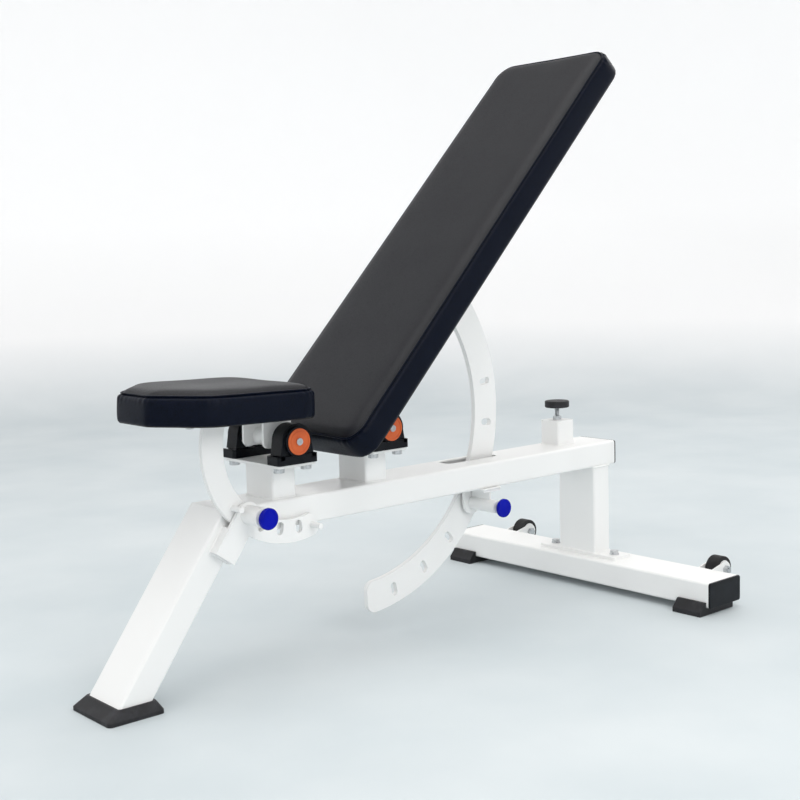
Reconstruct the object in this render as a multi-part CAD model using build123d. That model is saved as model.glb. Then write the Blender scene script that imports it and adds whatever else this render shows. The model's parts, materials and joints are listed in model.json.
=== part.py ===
"""Adjustable weight bench: a rectangular-tube frame with a seat and a backrest on bearing shafts.

Millimetres. X is across the bench, +Y runs from the seat end to the wheels, +Z is up.
Everything is laid out with Y = 0 at the backrest shaft, and moved at the end so that the
origin is the bottom centre of the bench's outline on the floor.
"""
from build123d import *
from math import asin, atan2, cos, degrees, radians, sin, sqrt, tan
import os

# ---- frame tube and overall layout -------------------------------------------------
TUBE_W = 100.0            # main tube, wide side
TUBE_H = 50.0             # main tube, narrow side
TUBE_WALL = 3.0
TUBE_R = 5.0              # outer corner radius of every main tube
BEAM_TOP = 305.0          # height of the main beam's top face
BEAM_OVERHANG = 17.0      # beam behind the rear post
LEG_ANGLE = 54.0          # front leg, degrees from the floor
LEG_TOE_Y = -557.5        # where the leg's front face meets the floor
LEG_CUT_Z = 8.0           # height of the leg's level bottom cut
POST_Y = 612.0            # centre of the rear post and of the stabiliser
STAB_LEN = 710.0
STAB_BOTTOM = 14.0        # height of the stabiliser above the floor
CAP_T = 4.0               # plastic end cap, outside plate
CAP_PLUG = 18.0           # plastic end cap, depth inside the tube
CAP_PLUG_WALL = 2.5
CAP_EDGE = 1.2            # rounding of the cap's rim
INNER_CORNER_R = 1.0      # least inside corner of a tube
CUT = 1.0                 # how far a cutting shape runs past the face it cuts
REACH = 2000.0            # a cutting shape larger than the whole bench

# ---- post base plate ---------------------------------------------------------------
BASE_BOLT_OUT = 32.0      # each bolt, out from the post's side
BASE_PLATE_EDGE = 22.0    # plate beyond each bolt
BASE_PLATE_LEDGE = 2.0    # plate in front of and behind the post
BASE_PLATE_T = 6.0
BASE_PLATE_R = 4.0
M10_R = 5.0
M10_HEX = 16.0            # across flats
M10_HEAD = 6.4
M10_NUT = 8.0
FLANGE_R = 10.0
FLANGE_T = 2.0
BOLT_GAP = 0.5            # radial room round a bolt in its hole
BOLT_END = 1.0            # thread showing past each nut
NUT_CHAMFER = 0.4

# ---- rubber feet -------------------------------------------------------------------
BOOT_SIDE = 12.0          # the boot's foot, beyond the leg's sides
BOOT_FRONT = 9.5          # the boot's toe, in front of the leg's face at the floor
BOOT_REAR = 28.7          # the boot's heel, behind the leg's rear face at the floor
BOOT_H = 21.0
BOOT_BAND = 6.0           # upright band round the boot's foot
BOOT_R = 8.0
BOOT_RIM = 4.0            # how far the boot's top rim stands out from the leg
BOOT_RIM_R = 6.0
FOOT_LEN_X = 65.0
FOOT_INSET = 5.0          # foot's outer side, in from the stabiliser's end
FOOT_TOE = 20.0           # foot in front of the stabiliser
FOOT_HEEL = 12.0          # foot stops this far short of the stabiliser's rear face
FOOT_LIP = 11.5           # lip up the stabiliser's front face
FOOT_LIP_T = 5.0
FOOT_BEVEL = 4.0
FOOT_STEP = 1.0           # top of the toe below the stabiliser's underside

# ---- pivots and bearings -----------------------------------------------------------
PIVOT_RISE = 101.0        # both shafts above the main beam
SEAT_PIVOT_Y = -205.0     # seat shaft; the backrest shaft is at Y = 0
SHAFT_R = 10.0
SHAFT_END = 14.0          # shaft beyond each bearing's centre
BLOCK_X = 66.0            # centre of each bearing block
BLOCK_W = 38.0            # block base, along X
BLOCK_LEN = 82.0          # block base, along Y
BLOCK_BASE = 15.0
BLOCK_H = 38.0            # shaft height above the block's underside
BLOCK_SHELL = 6.5         # arch's metal round the bearing
BLOCK_CHEEK = 4.0         # arch's spread at the base
BLOCK_ARCH_W = 30.0
BLOCK_COLLAR_T = 3.6      # collar's metal round the end cap
BLOCK_COLLAR = 6.0        # how far the collar stands out
BLOCK_BOLT_Y = 28.0
BLOCK_BOLT_CAST = 3.0     # metal left above each bolt's hole
BLOCK_BOLT_SHY = 1.0      # bolt's end short of its hole's end
BLOCK_BASE_R = 6.0
BEARING_PLATE_R = 5.0
BLOCK_NOTCH = 6.0         # depth of the notch in each end of the base
BLOCK_NOTCH_HALF = 4.0
BLOCK_NOTCH_IN = 9.0      # notch's centre from the base's end
BEARING_R = 23.5          # outer ring, outside
BEARING_W = 17.0
RACE_OUT_R = 19.6         # outer ring, inside
RACE_IN_R = 14.4          # inner ring, outside
INNER_RING_W = 31.0
BALL_R = 4.0
BALL_COUNT = 8
BALL_GAP = 0.15
CAP_STEP = 1.1            # end cap smaller than the bearing
CAP_PLATE = 6.0
CAP_RIM = 3.0
CAP_DISH = 0.8
CAP_BOSS_R = 6.5
CAP_BOSS = 1.5
CAP_SEAT = 1.0            # cap's back from the bearing's pocket
BEARING_PLATE_EDGE = 14.0 # plate beyond each block's centre
BEARING_PLATE_SHY = 1.0   # block's foot beyond the plate, front and rear
BEARING_PLATE_T = 5.0
PLATE_SLOT = 18.0         # length of each adjusting slot
RISER_X = 80.0
RISER_Y = 50.0

# ---- seat --------------------------------------------------------------------------
SEAT_TILT = 1.5           # front edge up, degrees
SEAT_STEP = 15.0          # angle between locking slots
SEAT_STEPS = 3            # steps above the lowest position
SEAT_OFFSET = 42.0        # pad's underside above the shaft
SEAT_FRONT = 266.0        # pad in front of the shaft
SEAT_REAR = 20.0          # pad behind the shaft
SEAT_HALF_X = 130.0
SEAT_NOSE_HALF_X = 48.0
SEAT_TAPER = 70.0
SEAT_CORNER_R = 33.0
SEAT_NOSE_R = 22.0
SEAT_SHOULDER_R = 60.0
CARRIER_T = 5.0
CARRIER_EDGE = 4.0        # carrier beyond the locking plate
CARRIER_SHORT = 62.0      # carrier stops this far behind the pad's nose
CARRIER_R = 8.0
CARRIER_REAR = 12.0
EAR_IN = 27.0             # inside face of each ear
EAR_T = 5.0
EAR_FRONT = 33.0
EAR_REAR = 24.0
EAR_DROP = 15.0
EAR_R = 10.0
SEAT_SCREW_FRONT = 20.0   # front screws from the carrier's front edge
SEAT_SCREW_REAR = 70.0    # rear screws in front of the shaft
SLEEVE_R = 15.0
SEAT_ARC_GAP = 4.0        # between the frame's side and the seat's locking plate
SEAT_ARC_T = 8.0
SEAT_ARC_R = 154.5        # middle of the plate
SEAT_ARC_W = 40.0
SEAT_ARC_HEAD = -205.0    # where the plate starts, degrees from +Y, inside the carrier
SEAT_ARC_TAIL = 14.5      # plate beyond its last slot, degrees
SEAT_ARC_TIP_R = 14.0
SEAT_PIN_INSET = 14.9     # pull pin's axis in front of the leg's rear face
SEAT_PIN_R = 146.0        # pull pin's axis from the seat shaft
SEAT_SLOT_OUT = 3.5       # middle of each slot, beyond the pin
SLOT_ROOM = 0.5           # each side of a pin in its slot
SEAT_SLOT_LEN = 22.0
PEG_R = 5.0
PEG_LEN = 26.0
PEG_OUT = 9.0             # pegs further from the shaft than the pin
PEG_GAP = 1.5             # room between a stop peg and the bracket's edge

# ---- backrest ----------------------------------------------------------------------
BACK_ANGLE = 46.2         # as built, degrees from level
BACK_STEP = 14.2
BACK_STEPS_UP = 3
BACK_STEPS_DOWN = 3
BACK_OFFSET = 44.5        # pad's underside from the shaft, square to the pad
BACK_BELOW = 99.0         # pad below the shaft, along the pad
BACK_ABOVE = 875.0        # pad above the shaft, along the pad
BACK_HALF_X = 149.5
BACK_CORNER_R = 40.0
OFFSET_X = -16.0          # backrest tube, locking plate and stop share this plane
BACK_TUBE = 50.0
BACK_TUBE_WALL = 2.5
BACK_TUBE_R = 4.0
BACK_TUBE_SHORT = 75.0    # tube stops this far below the pad's top
CROSS_T = 4.0
CROSS_SHORT = 37.5        # cross plates stop this far inside the pad's sides
CROSS_W = 40.0
CROSS_R = 6.0
CROSS_FIRST = 66.0        # lowest cross plate from the shaft
CROSS_LAST = 60.0         # highest cross plate from the tube's end
CROSS_SCREW_IN = 20.0     # screws from each cross plate's ends
BACK_ARC_T = 10.0
BACK_ARC_R = 331.0
BACK_ARC_W = 60.0
BACK_ARC_TAIL = 11.5      # plate beyond its last slot, degrees
BACK_ARC_TIP_R = 18.0
BACK_PIN_DROP = 34.5      # pull pin's axis under the main beam
BACK_PIN_OUT = 2.0        # pin's circle outside the plate's middle
BACK_SLOT_LEN = 26.0
ARC_SLOT_LEAD = 68.5      # slot in the beam's top wall, in front of the plate
ARC_SLOT_LEAD_LOW = 15.0  # slot in the beam's bottom wall, in front of the plate
ARC_SLOT_GAP = 5.0        # slots behind the plate
ARC_SLOT_SIDE = 13.0      # room beside the plate in the beam's slot

# ---- upholstery --------------------------------------------------------------------
PAD_SIDE = 45.0           # height of the pad's side band
PAD_CROWN = 10.0
PAD_CROWN_TAPER = 62.0
BOARD_T = 12.0
BOARD_INSET = 5.0
SCREW_R = 4.0
SCREW_HEAD_R = 7.0
SCREW_HEAD = 4.0
SCREW_IN_BOARD = 10.0

# ---- pull pins ---------------------------------------------------------------------
PIN_R = 6.0
PIN_GUIDE_GAP = 0.1
PIN_CLEAR = 0.5           # drawn pin's tip, clear of the locking plate
PIN_THROUGH = 2.0         # engaged pin's tip, past the locking plate's far face
COLLAR_STEP = 3.5         # plunger's collar beyond the pin
COLLAR_T = 4.0
COLLAR_PLACE = 0.9        # collar's place, as a share of the travel, before the end wall
BARREL_ROOM = 0.5         # round the collar in its barrel
BARREL_END = 6.0
BARREL_R = 1.5            # rounding of the barrel's mouth
TIP_CHAMFER = 1.5
KNOB_R = 18.0
KNOB_T = 7.0
KNOB_DOME = 3.0
KNOB_BACK = 1.0
KNOB_SOCKET = 3.0         # depth of the pin's end in the knob
KNOB_SHY = 0.5            # room left between barrel and knob with the pin engaged
SPRING_WIRE_R = 0.8
SPRING_TURNS = 4
SPRING_ROOM = 0.1         # at each end of the pressed spring
ARM_GAP = 2.0             # room between the locking plate and the bracket's arm
ARM_T = 6.0
ARM_HALF_W = 21.0
SEAT_BARREL_WALL = 6.0
SEAT_BARREL_LEN = 42.0
BRACKET_START = 36.0      # bracket's box, from the pin down the leg
BRACKET_END = 83.0
HANGER_HALF_W = 22.0
HANGER_T = 6.0
HANGER_GAP = 7.0          # between the locking plate and the hanger
HANGER_RIB_T = 5.0
HANGER_OUT = 7.0          # hanger plate beyond the beam's side
BACK_BARREL_WALL = 2.7
BACK_BARREL_OUT = 22.0    # barrel beyond the beam's side

# ---- backrest stop and wheels ------------------------------------------------------
STOP_Y = 547.5
STOP_TUBE = 50.0
STOP_WALL = 3.0
STOP_BLOCK_H = 51.0
STOP_TOP_T = 4.0
STOP_PAD_R = 25.5
STOP_PAD_T = 14.0
STOP_TRAVEL_UP = 6.0
STOP_STUD_GRIP = 10.0     # stud below the block's lid with the stop highest
STOP_STUD_SOCKET = 6.0    # depth of the stud in the pad
STOP_PAD_EDGE = 2.5
STOP_GAP = 0.3            # level backrest tube above the stop's pad
WHEEL_INSET = 83.0        # wheel centre in from the stabiliser's end
WHEEL_GAP = 20.0          # tyre behind the fork's back plate
WHEEL_DROP = 11.0         # axle below the stabiliser's top
WHEEL_R = 27.0
WHEEL_W = 28.0
HUB_R = 19.0
HUB_DISH = 4.0
HUB_RIM = 2.5
HUB_BOSS = 4.0            # boss round the bore
TYRE_EDGE = 3.0
AXLE_GAP = 0.1
FORK_T = 3.0
FORK_GAP = 1.0            # each side of the wheel
FORK_HALF_H = 17.0

# ---- derived places ----------------------------------------------------------------
BEAM_BOTTOM = BEAM_TOP - TUBE_H
BEAM_REAR_Y = POST_Y + TUBE_H / 2 + BEAM_OVERHANG
PIVOT_Z = BEAM_TOP + PIVOT_RISE
STAB_TOP = STAB_BOTTOM + TUBE_H
STAB_FRONT_Y = POST_Y - TUBE_W / 2
STAB_REAR_Y = POST_Y + TUBE_W / 2
POST_FOOT_Z = STAB_TOP + BASE_PLATE_T
BASE_BOLT_X = TUBE_W / 2 + BASE_BOLT_OUT
BASE_PLATE_X = 2 * (BASE_BOLT_X + BASE_PLATE_EDGE)
BASE_PLATE_Y = TUBE_H + 2 * BASE_PLATE_LEDGE
LEG_DEPTH_Y = TUBE_H / sin(radians(LEG_ANGLE))
LEG_HEEL_Y = LEG_TOE_Y + LEG_DEPTH_Y
MITRE_TOP_Y = LEG_TOE_Y + BEAM_TOP / tan(radians(LEG_ANGLE))
MITRE_LOW_Y = LEG_HEEL_Y + BEAM_BOTTOM / tan(radians(LEG_ANGLE))
SHAFT_HALF = BLOCK_X + SHAFT_END
BEARING_PLATE_X = 2 * (BLOCK_X + BEARING_PLATE_EDGE)
BEARING_PLATE_Y = BLOCK_LEN - 2 * BEARING_PLATE_SHY
BLOCK_ARCH_R = BEARING_R + BLOCK_SHELL
CAP_R = BEARING_R - CAP_STEP
BLOCK_COLLAR_R = CAP_R + BLOCK_COLLAR_T
PLATE_TOP = PIVOT_Z - BLOCK_H
PLATE_LOW = PLATE_TOP - BEARING_PLATE_T
WHEEL_X = STAB_LEN / 2 - WHEEL_INSET
WHEEL_Y = STAB_REAR_Y + FORK_T + WHEEL_GAP + WHEEL_R
WHEEL_Z = STAB_TOP - WHEEL_DROP
BOOT_FRONT_Y = LEG_TOE_Y - BOOT_FRONT
ORIGIN_Y = (BOOT_FRONT_Y + WHEEL_Y + WHEEL_R) / 2

SLOT_W = 2 * (PIN_R + SLOT_ROOM)
COLLAR_R = PIN_R + COLLAR_STEP
BARREL_BORE_R = COLLAR_R + BARREL_ROOM
SEAT_BARREL_R = BARREL_BORE_R + SEAT_BARREL_WALL
BACK_BARREL_R = BARREL_BORE_R + BACK_BARREL_WALL


def seat_pin_place():
    """Where the line of the pin's inset down the leg meets the pin's circle round the seat shaft."""
    lean_y, lean_z = cos(radians(LEG_ANGLE)), sin(radians(LEG_ANGLE))
    start_y = LEG_HEEL_Y - SEAT_PIN_INSET * lean_z
    start_z = SEAT_PIN_INSET * lean_y
    to_y, to_z = SEAT_PIVOT_Y - start_y, PIVOT_Z - start_z
    along = to_y * lean_y + to_z * lean_z
    aside = to_y * lean_z - to_z * lean_y
    run = along - sqrt(SEAT_PIN_R ** 2 - aside ** 2)
    return start_y + run * lean_y, start_z + run * lean_z


SEAT_ARC_X = TUBE_W / 2 + SEAT_ARC_GAP
SEAT_ARC_OUT = SEAT_ARC_X + SEAT_ARC_T
SEAT_PIN_Y, SEAT_PIN_Z = seat_pin_place()
SEAT_PIN_ANGLE = degrees(atan2(SEAT_PIN_Z - PIVOT_Z, SEAT_PIN_Y - SEAT_PIVOT_Y))
SEAT_SLOT_R = SEAT_PIN_R + SEAT_SLOT_OUT
SEAT_ARC_END = SEAT_PIN_ANGLE + SEAT_STEP * SEAT_STEPS + SEAT_ARC_TAIL
PEG_PITCH_R = SEAT_PIN_R + PEG_OUT
SEAT_ARM_X = SEAT_ARC_OUT + ARM_GAP
SEAT_BARREL_X = SEAT_ARM_X + ARM_T
SEAT_BARREL_END_X = SEAT_BARREL_X + SEAT_BARREL_LEN
SEAT_TIP_X = SEAT_ARC_OUT + PIN_CLEAR
SEAT_PIN_TRAVEL = SEAT_ARC_T + PIN_CLEAR + PIN_THROUGH
CARRIER_HALF_X = SEAT_ARC_OUT + CARRIER_EDGE
CARRIER_FRONT = SEAT_FRONT - CARRIER_SHORT

BACK_ARC_NEAR_X = OFFSET_X + BACK_ARC_T / 2
BACK_PIN_R = BACK_ARC_R + BACK_PIN_OUT
BACK_PIN_Z = BEAM_BOTTOM - BACK_PIN_DROP
BACK_PIN_ANGLE = -degrees(asin((PIVOT_Z - BACK_PIN_Z) / BACK_PIN_R))
BACK_PIN_Y = BACK_PIN_R * cos(radians(BACK_PIN_ANGLE))
BACK_ARC_END = BACK_PIN_ANGLE - BACK_STEP * BACK_STEPS_UP - BACK_ARC_TAIL
BACK_TIP_X = BACK_ARC_NEAR_X + PIN_CLEAR
BACK_PIN_TRAVEL = BACK_ARC_T + PIN_CLEAR + PIN_THROUGH
HANGER_X = BACK_ARC_NEAR_X + HANGER_GAP
HANGER_PLATE_END_X = TUBE_W / 2 + HANGER_OUT
BACK_BARREL_END_X = TUBE_W / 2 + BACK_BARREL_OUT
BACK_TUBE_TOP = BACK_OFFSET - CROSS_T
BACK_TUBE_LOW = BACK_TUBE_TOP - BACK_TUBE
BACK_TUBE_LEN = BACK_ABOVE - BACK_TUBE_SHORT
CROSS_AT = (CROSS_FIRST, BACK_TUBE_LEN / 2, BACK_TUBE_LEN - CROSS_LAST)
CROSS_HALF_X = BACK_HALF_X - CROSS_SHORT
STOP_PAD_TOP = PIVOT_Z + BACK_TUBE_LOW - STOP_GAP
STOP_BLOCK_TOP = BEAM_TOP + STOP_BLOCK_H
STUD_LOW = STOP_BLOCK_TOP - STOP_TOP_T - STOP_TRAVEL_UP - STOP_STUD_GRIP


# ---- helpers -----------------------------------------------------------------------
def along_x(sketch, x0, x1):
    """A section drawn in the Y-Z plane, made solid from x0 to x1."""
    return extrude(Plane(origin=(x0, 0, 0), x_dir=(0, 1, 0), z_dir=(1, 0, 0)) * sketch, amount=x1 - x0)


def along_y(sketch, y0, y1):
    """A section drawn in the X-Z plane, made solid from y0 to y1."""
    return extrude(Plane(origin=(0, y0, 0), x_dir=(-1, 0, 0), z_dir=(0, 1, 0)) * sketch, amount=y1 - y0)


def along_z(sketch, z0, z1):
    """A section drawn in the X-Y plane, made solid from z0 to z1."""
    return extrude(Pos(0, 0, z0) * sketch, amount=z1 - z0)


def ring_section(wide, deep, wall, corner):
    """The hollow section of a rectangular tube."""
    inner = RectangleRounded(wide - 2 * wall, deep - 2 * wall, max(corner - wall, INNER_CORNER_R))
    return RectangleRounded(wide, deep, corner) - inner


def rod_x(radius, x0, x1, y=0.0, z=0.0):
    """A round bar along X."""
    return Pos((x0 + x1) / 2, y, z) * Rot(0, 90, 0) * Cylinder(radius, abs(x1 - x0))


def rod_z(radius, z0, z1, x=0.0, y=0.0):
    """A round bar along Z."""
    return Pos(x, y, (z0 + z1) / 2) * Cylinder(radius, abs(z1 - z0))


def block(x0, x1, y0, y1, z0, z1):
    """A plain box given by its limits."""
    return Pos((x0 + x1) / 2, (y0 + y1) / 2, (z0 + z1) / 2) * Box(x1 - x0, y1 - y0, z1 - z0)


def hexagon(flats):
    return RegularPolygon(flats / 2, 6, major_radius=False)


def polar(radius, angle):
    return (radius * cos(radians(angle)), radius * sin(radians(angle)))


def both_sides(part):
    """The part and its mirror image across the bench's centre plane."""
    return [part, mirror(part, about=Plane.YZ)]


def to_seat(part):
    """From the seat's own frame, origin on its shaft and pad level, to the bench."""
    return Pos(0, SEAT_PIVOT_Y, PIVOT_Z) * Rot(-SEAT_TILT, 0, 0) * part


def to_back(part):
    """From the backrest's own frame, +Y along the pad and +Z out of it, to the bench."""
    return Pos(0, 0, PIVOT_Z) * Rot(BACK_ANGLE, 0, 0) * part


def sector(radius, width, start, end, corner):
    """A flat ring sector in the Y-Z plane, with rounded corners at its end angle."""
    inner, outer = radius - width / 2, radius + width / 2
    middle = (start + end) / 2
    face = make_face([
        ThreePointArc(polar(outer, start), polar(outer, middle), polar(outer, end)),
        Line(polar(outer, end), polar(inner, end)),
        ThreePointArc(polar(inner, end), polar(inner, middle), polar(inner, start)),
        Line(polar(inner, start), polar(outer, start)),
    ])
    tip = [v for v in face.vertices()
           if min((Vector(*polar(r, end)) - Vector(v.X, v.Y)).length for r in (inner, outer)) < 0.01]
    return fillet(tip, corner)


def radial_slots(radius, length, angles):
    """Slots whose long way points at the origin."""
    return [Rot(0, 0, a) * Pos(radius, 0) * SlotOverall(length, SLOT_W) for a in angles]


# ---- frame -------------------------------------------------------------------------
def mitre_cut(keep_front):
    """Everything on one side of the mitre between leg and beam."""
    lean = degrees(asin((MITRE_LOW_Y - MITRE_TOP_Y) / sqrt((MITRE_LOW_Y - MITRE_TOP_Y) ** 2 + TUBE_H ** 2)))
    side = 1 if keep_front else -1
    half_space = Pos(0, side * REACH / 2, 0) * Box(REACH, REACH, REACH)
    return Pos(0, MITRE_TOP_Y, BEAM_TOP) * Rot(lean, 0, 0) * half_space


def below(z):
    """Everything under a height."""
    return Pos(0, 0, z - REACH / 2) * Box(REACH, REACH, REACH)


def leg_plane():
    """Drawing plane square to the leg at the floor, its y running from the leg's front to its rear."""
    lean = radians(LEG_ANGLE)
    return Plane(origin=(0, LEG_TOE_Y, 0), x_dir=(1, 0, 0), z_dir=(0, cos(lean), sin(lean)))


def slot_cut(front, rear, z):
    """The slot through one wall of the beam for the backrest's locking plate."""
    width = BACK_ARC_T + 2 * ARC_SLOT_SIDE
    outline = Pos(OFFSET_X, (front + rear) / 2) * RectangleRounded(width, rear - front, width / 3)
    return along_z(outline, z - TUBE_WALL - CUT, z + CUT)


def arc_reach(radius, z):
    """Where a circle about the backrest shaft crosses the height z."""
    return sqrt(radius ** 2 - (PIVOT_Z - z) ** 2)


def make_beam():
    section = Pos(0, BEAM_TOP - TUBE_H / 2) * ring_section(TUBE_W, TUBE_H, TUBE_WALL, TUBE_R)
    beam = along_y(section, MITRE_TOP_Y - TUBE_H, BEAM_REAR_Y) - mitre_cut(False)
    outer = BACK_ARC_R + BACK_ARC_W / 2
    inner = BACK_ARC_R - BACK_ARC_W / 2
    top_front = arc_reach(inner, BEAM_TOP) - ARC_SLOT_LEAD
    beam -= slot_cut(top_front, arc_reach(outer, BEAM_TOP) + ARC_SLOT_GAP, BEAM_TOP)
    low_front = arc_reach(inner, BEAM_BOTTOM) - ARC_SLOT_LEAD_LOW
    low_rear = arc_reach(outer, BEAM_BOTTOM + TUBE_WALL) + ARC_SLOT_GAP
    beam -= slot_cut(low_front, low_rear, BEAM_BOTTOM + TUBE_WALL)
    return beam


def make_leg():
    section = Pos(0, TUBE_H / 2) * ring_section(TUBE_W, TUBE_H, TUBE_WALL, TUBE_R)
    leg = extrude(leg_plane() * section, amount=BEAM_TOP * 2, both=True)
    return leg - mitre_cut(True) - below(LEG_CUT_Z)


def make_boot():
    """Rubber boot under the leg: flared outside, with a pocket that takes the leg's cut end."""
    slope = 1 / tan(radians(LEG_ANGLE))
    heel = LEG_HEEL_Y + BOOT_REAR
    width = TUBE_W + 2 * BOOT_SIDE
    low = Pos(0, (BOOT_FRONT_Y + heel) / 2) * RectangleRounded(width, heel - BOOT_FRONT_Y, BOOT_R)
    top_front = LEG_TOE_Y + BOOT_H * slope - BOOT_RIM
    top_rear = LEG_HEEL_Y + BOOT_H * slope + BOOT_RIM
    high = Pos(0, (top_front + top_rear) / 2, BOOT_H) * RectangleRounded(
        TUBE_W + 2 * BOOT_RIM, top_rear - top_front, BOOT_RIM_R)
    band = along_z(low, 0, BOOT_BAND)
    boot = band + loft([Pos(0, 0, BOOT_BAND) * low, high])
    leg_end = Pos(0, TUBE_H / 2) * RectangleRounded(TUBE_W, TUBE_H, TUBE_R)
    pocket = extrude(leg_plane() * leg_end, amount=BEAM_TOP) - below(LEG_CUT_Z)
    return boot - pocket


def make_post():
    section = Pos(0, POST_Y) * ring_section(TUBE_W, TUBE_H, TUBE_WALL, TUBE_R)
    return along_z(section, POST_FOOT_Z, BEAM_BOTTOM)


def base_bolt_holes(z0, z1):
    return [rod_z(M10_R + BOLT_GAP, z0, z1, side * BASE_BOLT_X, POST_Y) for side in (-1, 1)]


def make_base_plate():
    outline = Pos(0, POST_Y) * RectangleRounded(BASE_PLATE_X, BASE_PLATE_Y, BASE_PLATE_R)
    return along_z(outline, STAB_TOP, POST_FOOT_Z) - base_bolt_holes(STAB_TOP - CUT, POST_FOOT_Z + CUT)


def make_stabiliser():
    section = Pos(POST_Y, STAB_BOTTOM + TUBE_H / 2) * ring_section(TUBE_W, TUBE_H, TUBE_WALL, TUBE_R)
    tube = along_x(section, -STAB_LEN / 2, STAB_LEN / 2)
    return tube - base_bolt_holes(STAB_BOTTOM - CUT, STAB_TOP + CUT)


def flange_bolt(grip_top, grip_low, x, y):
    """Hex bolt with a flange: its head sits on grip_top, its shank ends at grip_low."""
    way = 1 if grip_top > grip_low else -1
    flange = rod_z(FLANGE_R, grip_top, grip_top + way * FLANGE_T, x, y)
    head = extrude(Pos(x, y, grip_top) * hexagon(M10_HEX), amount=way * (M10_HEAD + FLANGE_T))
    shank = rod_z(M10_R, grip_low, grip_top + way * FLANGE_T, x, y)
    return flange + head + shank


def make_base_bolts():
    low = STAB_BOTTOM - M10_NUT - BOLT_END
    return [flange_bolt(POST_FOOT_Z, low, side * BASE_BOLT_X, POST_Y) for side in (-1, 1)]


def make_lock_nuts():
    """Five alike: two under the stabiliser, two on the wheel axles, one on the stop's stud."""
    nut = along_z(hexagon(M10_HEX) - Circle(M10_R + PIN_GUIDE_GAP), 0, M10_NUT)
    nut = chamfer(nut.edges().filter_by(GeomType.CIRCLE), NUT_CHAMFER)
    nuts = both_sides(Pos(BASE_BOLT_X, POST_Y, STAB_BOTTOM - M10_NUT) * nut)
    nuts += both_sides(Pos(WHEEL_X + fork_half(), WHEEL_Y, WHEEL_Z) * Rot(0, 90, 0) * nut)
    return nuts + [Pos(OFFSET_X, STOP_Y, STOP_BLOCK_TOP) * nut]


def end_cap(wide, deep, wall, corner):
    """Push-in tube cap, drawn flat: the plate is above z = 0, the plug below."""
    plate = along_z(RectangleRounded(wide, deep, corner), 0, CAP_T)
    plate = fillet(plate.faces().sort_by(Axis.Z)[-1].edges(), CAP_EDGE)
    inside = max(corner - wall, INNER_CORNER_R)
    plug = ring_section(wide - 2 * wall, deep - 2 * wall, CAP_PLUG_WALL, inside)
    return plate + along_z(plug, -CAP_PLUG, 0)


def make_stabiliser_caps():
    cap = Pos(STAB_LEN / 2, POST_Y, STAB_BOTTOM + TUBE_H / 2) * Rot(0, 90, 0) * Rot(0, 0, 90) * end_cap(
        TUBE_W, TUBE_H, TUBE_WALL, TUBE_R)
    return both_sides(cap)


def make_beam_cap():
    return Pos(0, BEAM_REAR_Y, BEAM_TOP - TUBE_H / 2) * Rot(-90, 0, 0) * end_cap(
        TUBE_W, TUBE_H, TUBE_WALL, TUBE_R)


def make_rear_feet():
    """Moulded rubber foot: a sole under the stabiliser and a bevelled toe that laps its front face."""
    toe = STAB_FRONT_Y - FOOT_TOE
    lap = STAB_FRONT_Y - FOOT_LIP_T
    outline = make_face(Polyline([
        (toe, 0), (STAB_REAR_Y - FOOT_HEEL, 0), (STAB_REAR_Y - FOOT_HEEL, STAB_BOTTOM),
        (STAB_FRONT_Y, STAB_BOTTOM), (STAB_FRONT_Y, STAB_BOTTOM + FOOT_LIP),
        (lap, STAB_BOTTOM + FOOT_LIP), (toe + FOOT_BEVEL, STAB_BOTTOM - FOOT_STEP),
        (toe, STAB_BOTTOM - FOOT_STEP - FOOT_BEVEL)], close=True))
    outer = STAB_LEN / 2 - FOOT_INSET
    foot = along_x(outline, outer - FOOT_LEN_X, outer)
    return both_sides(foot)


# ---- risers, bearing plates and bearings -------------------------------------------
def make_riser(pivot_y):
    section = Pos(0, pivot_y) * ring_section(RISER_X, RISER_Y, TUBE_WALL, TUBE_R)
    return along_z(section, BEAM_TOP, PLATE_LOW)


def block_bolt_places(pivot_y):
    return [(sx * BLOCK_X, pivot_y + sy * BLOCK_BOLT_Y) for sx in (-1, 1) for sy in (-1, 1)]


def make_bearing_plate(pivot_y):
    outline = Pos(0, pivot_y) * RectangleRounded(BEARING_PLATE_X, BEARING_PLATE_Y, BEARING_PLATE_R)
    for x, y in block_bolt_places(pivot_y):
        outline -= Pos(x, y) * Rot(0, 0, 90) * SlotOverall(PLATE_SLOT, 2 * (M10_R + BOLT_GAP))
    return along_z(outline, PLATE_LOW, PLATE_TOP)


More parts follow.
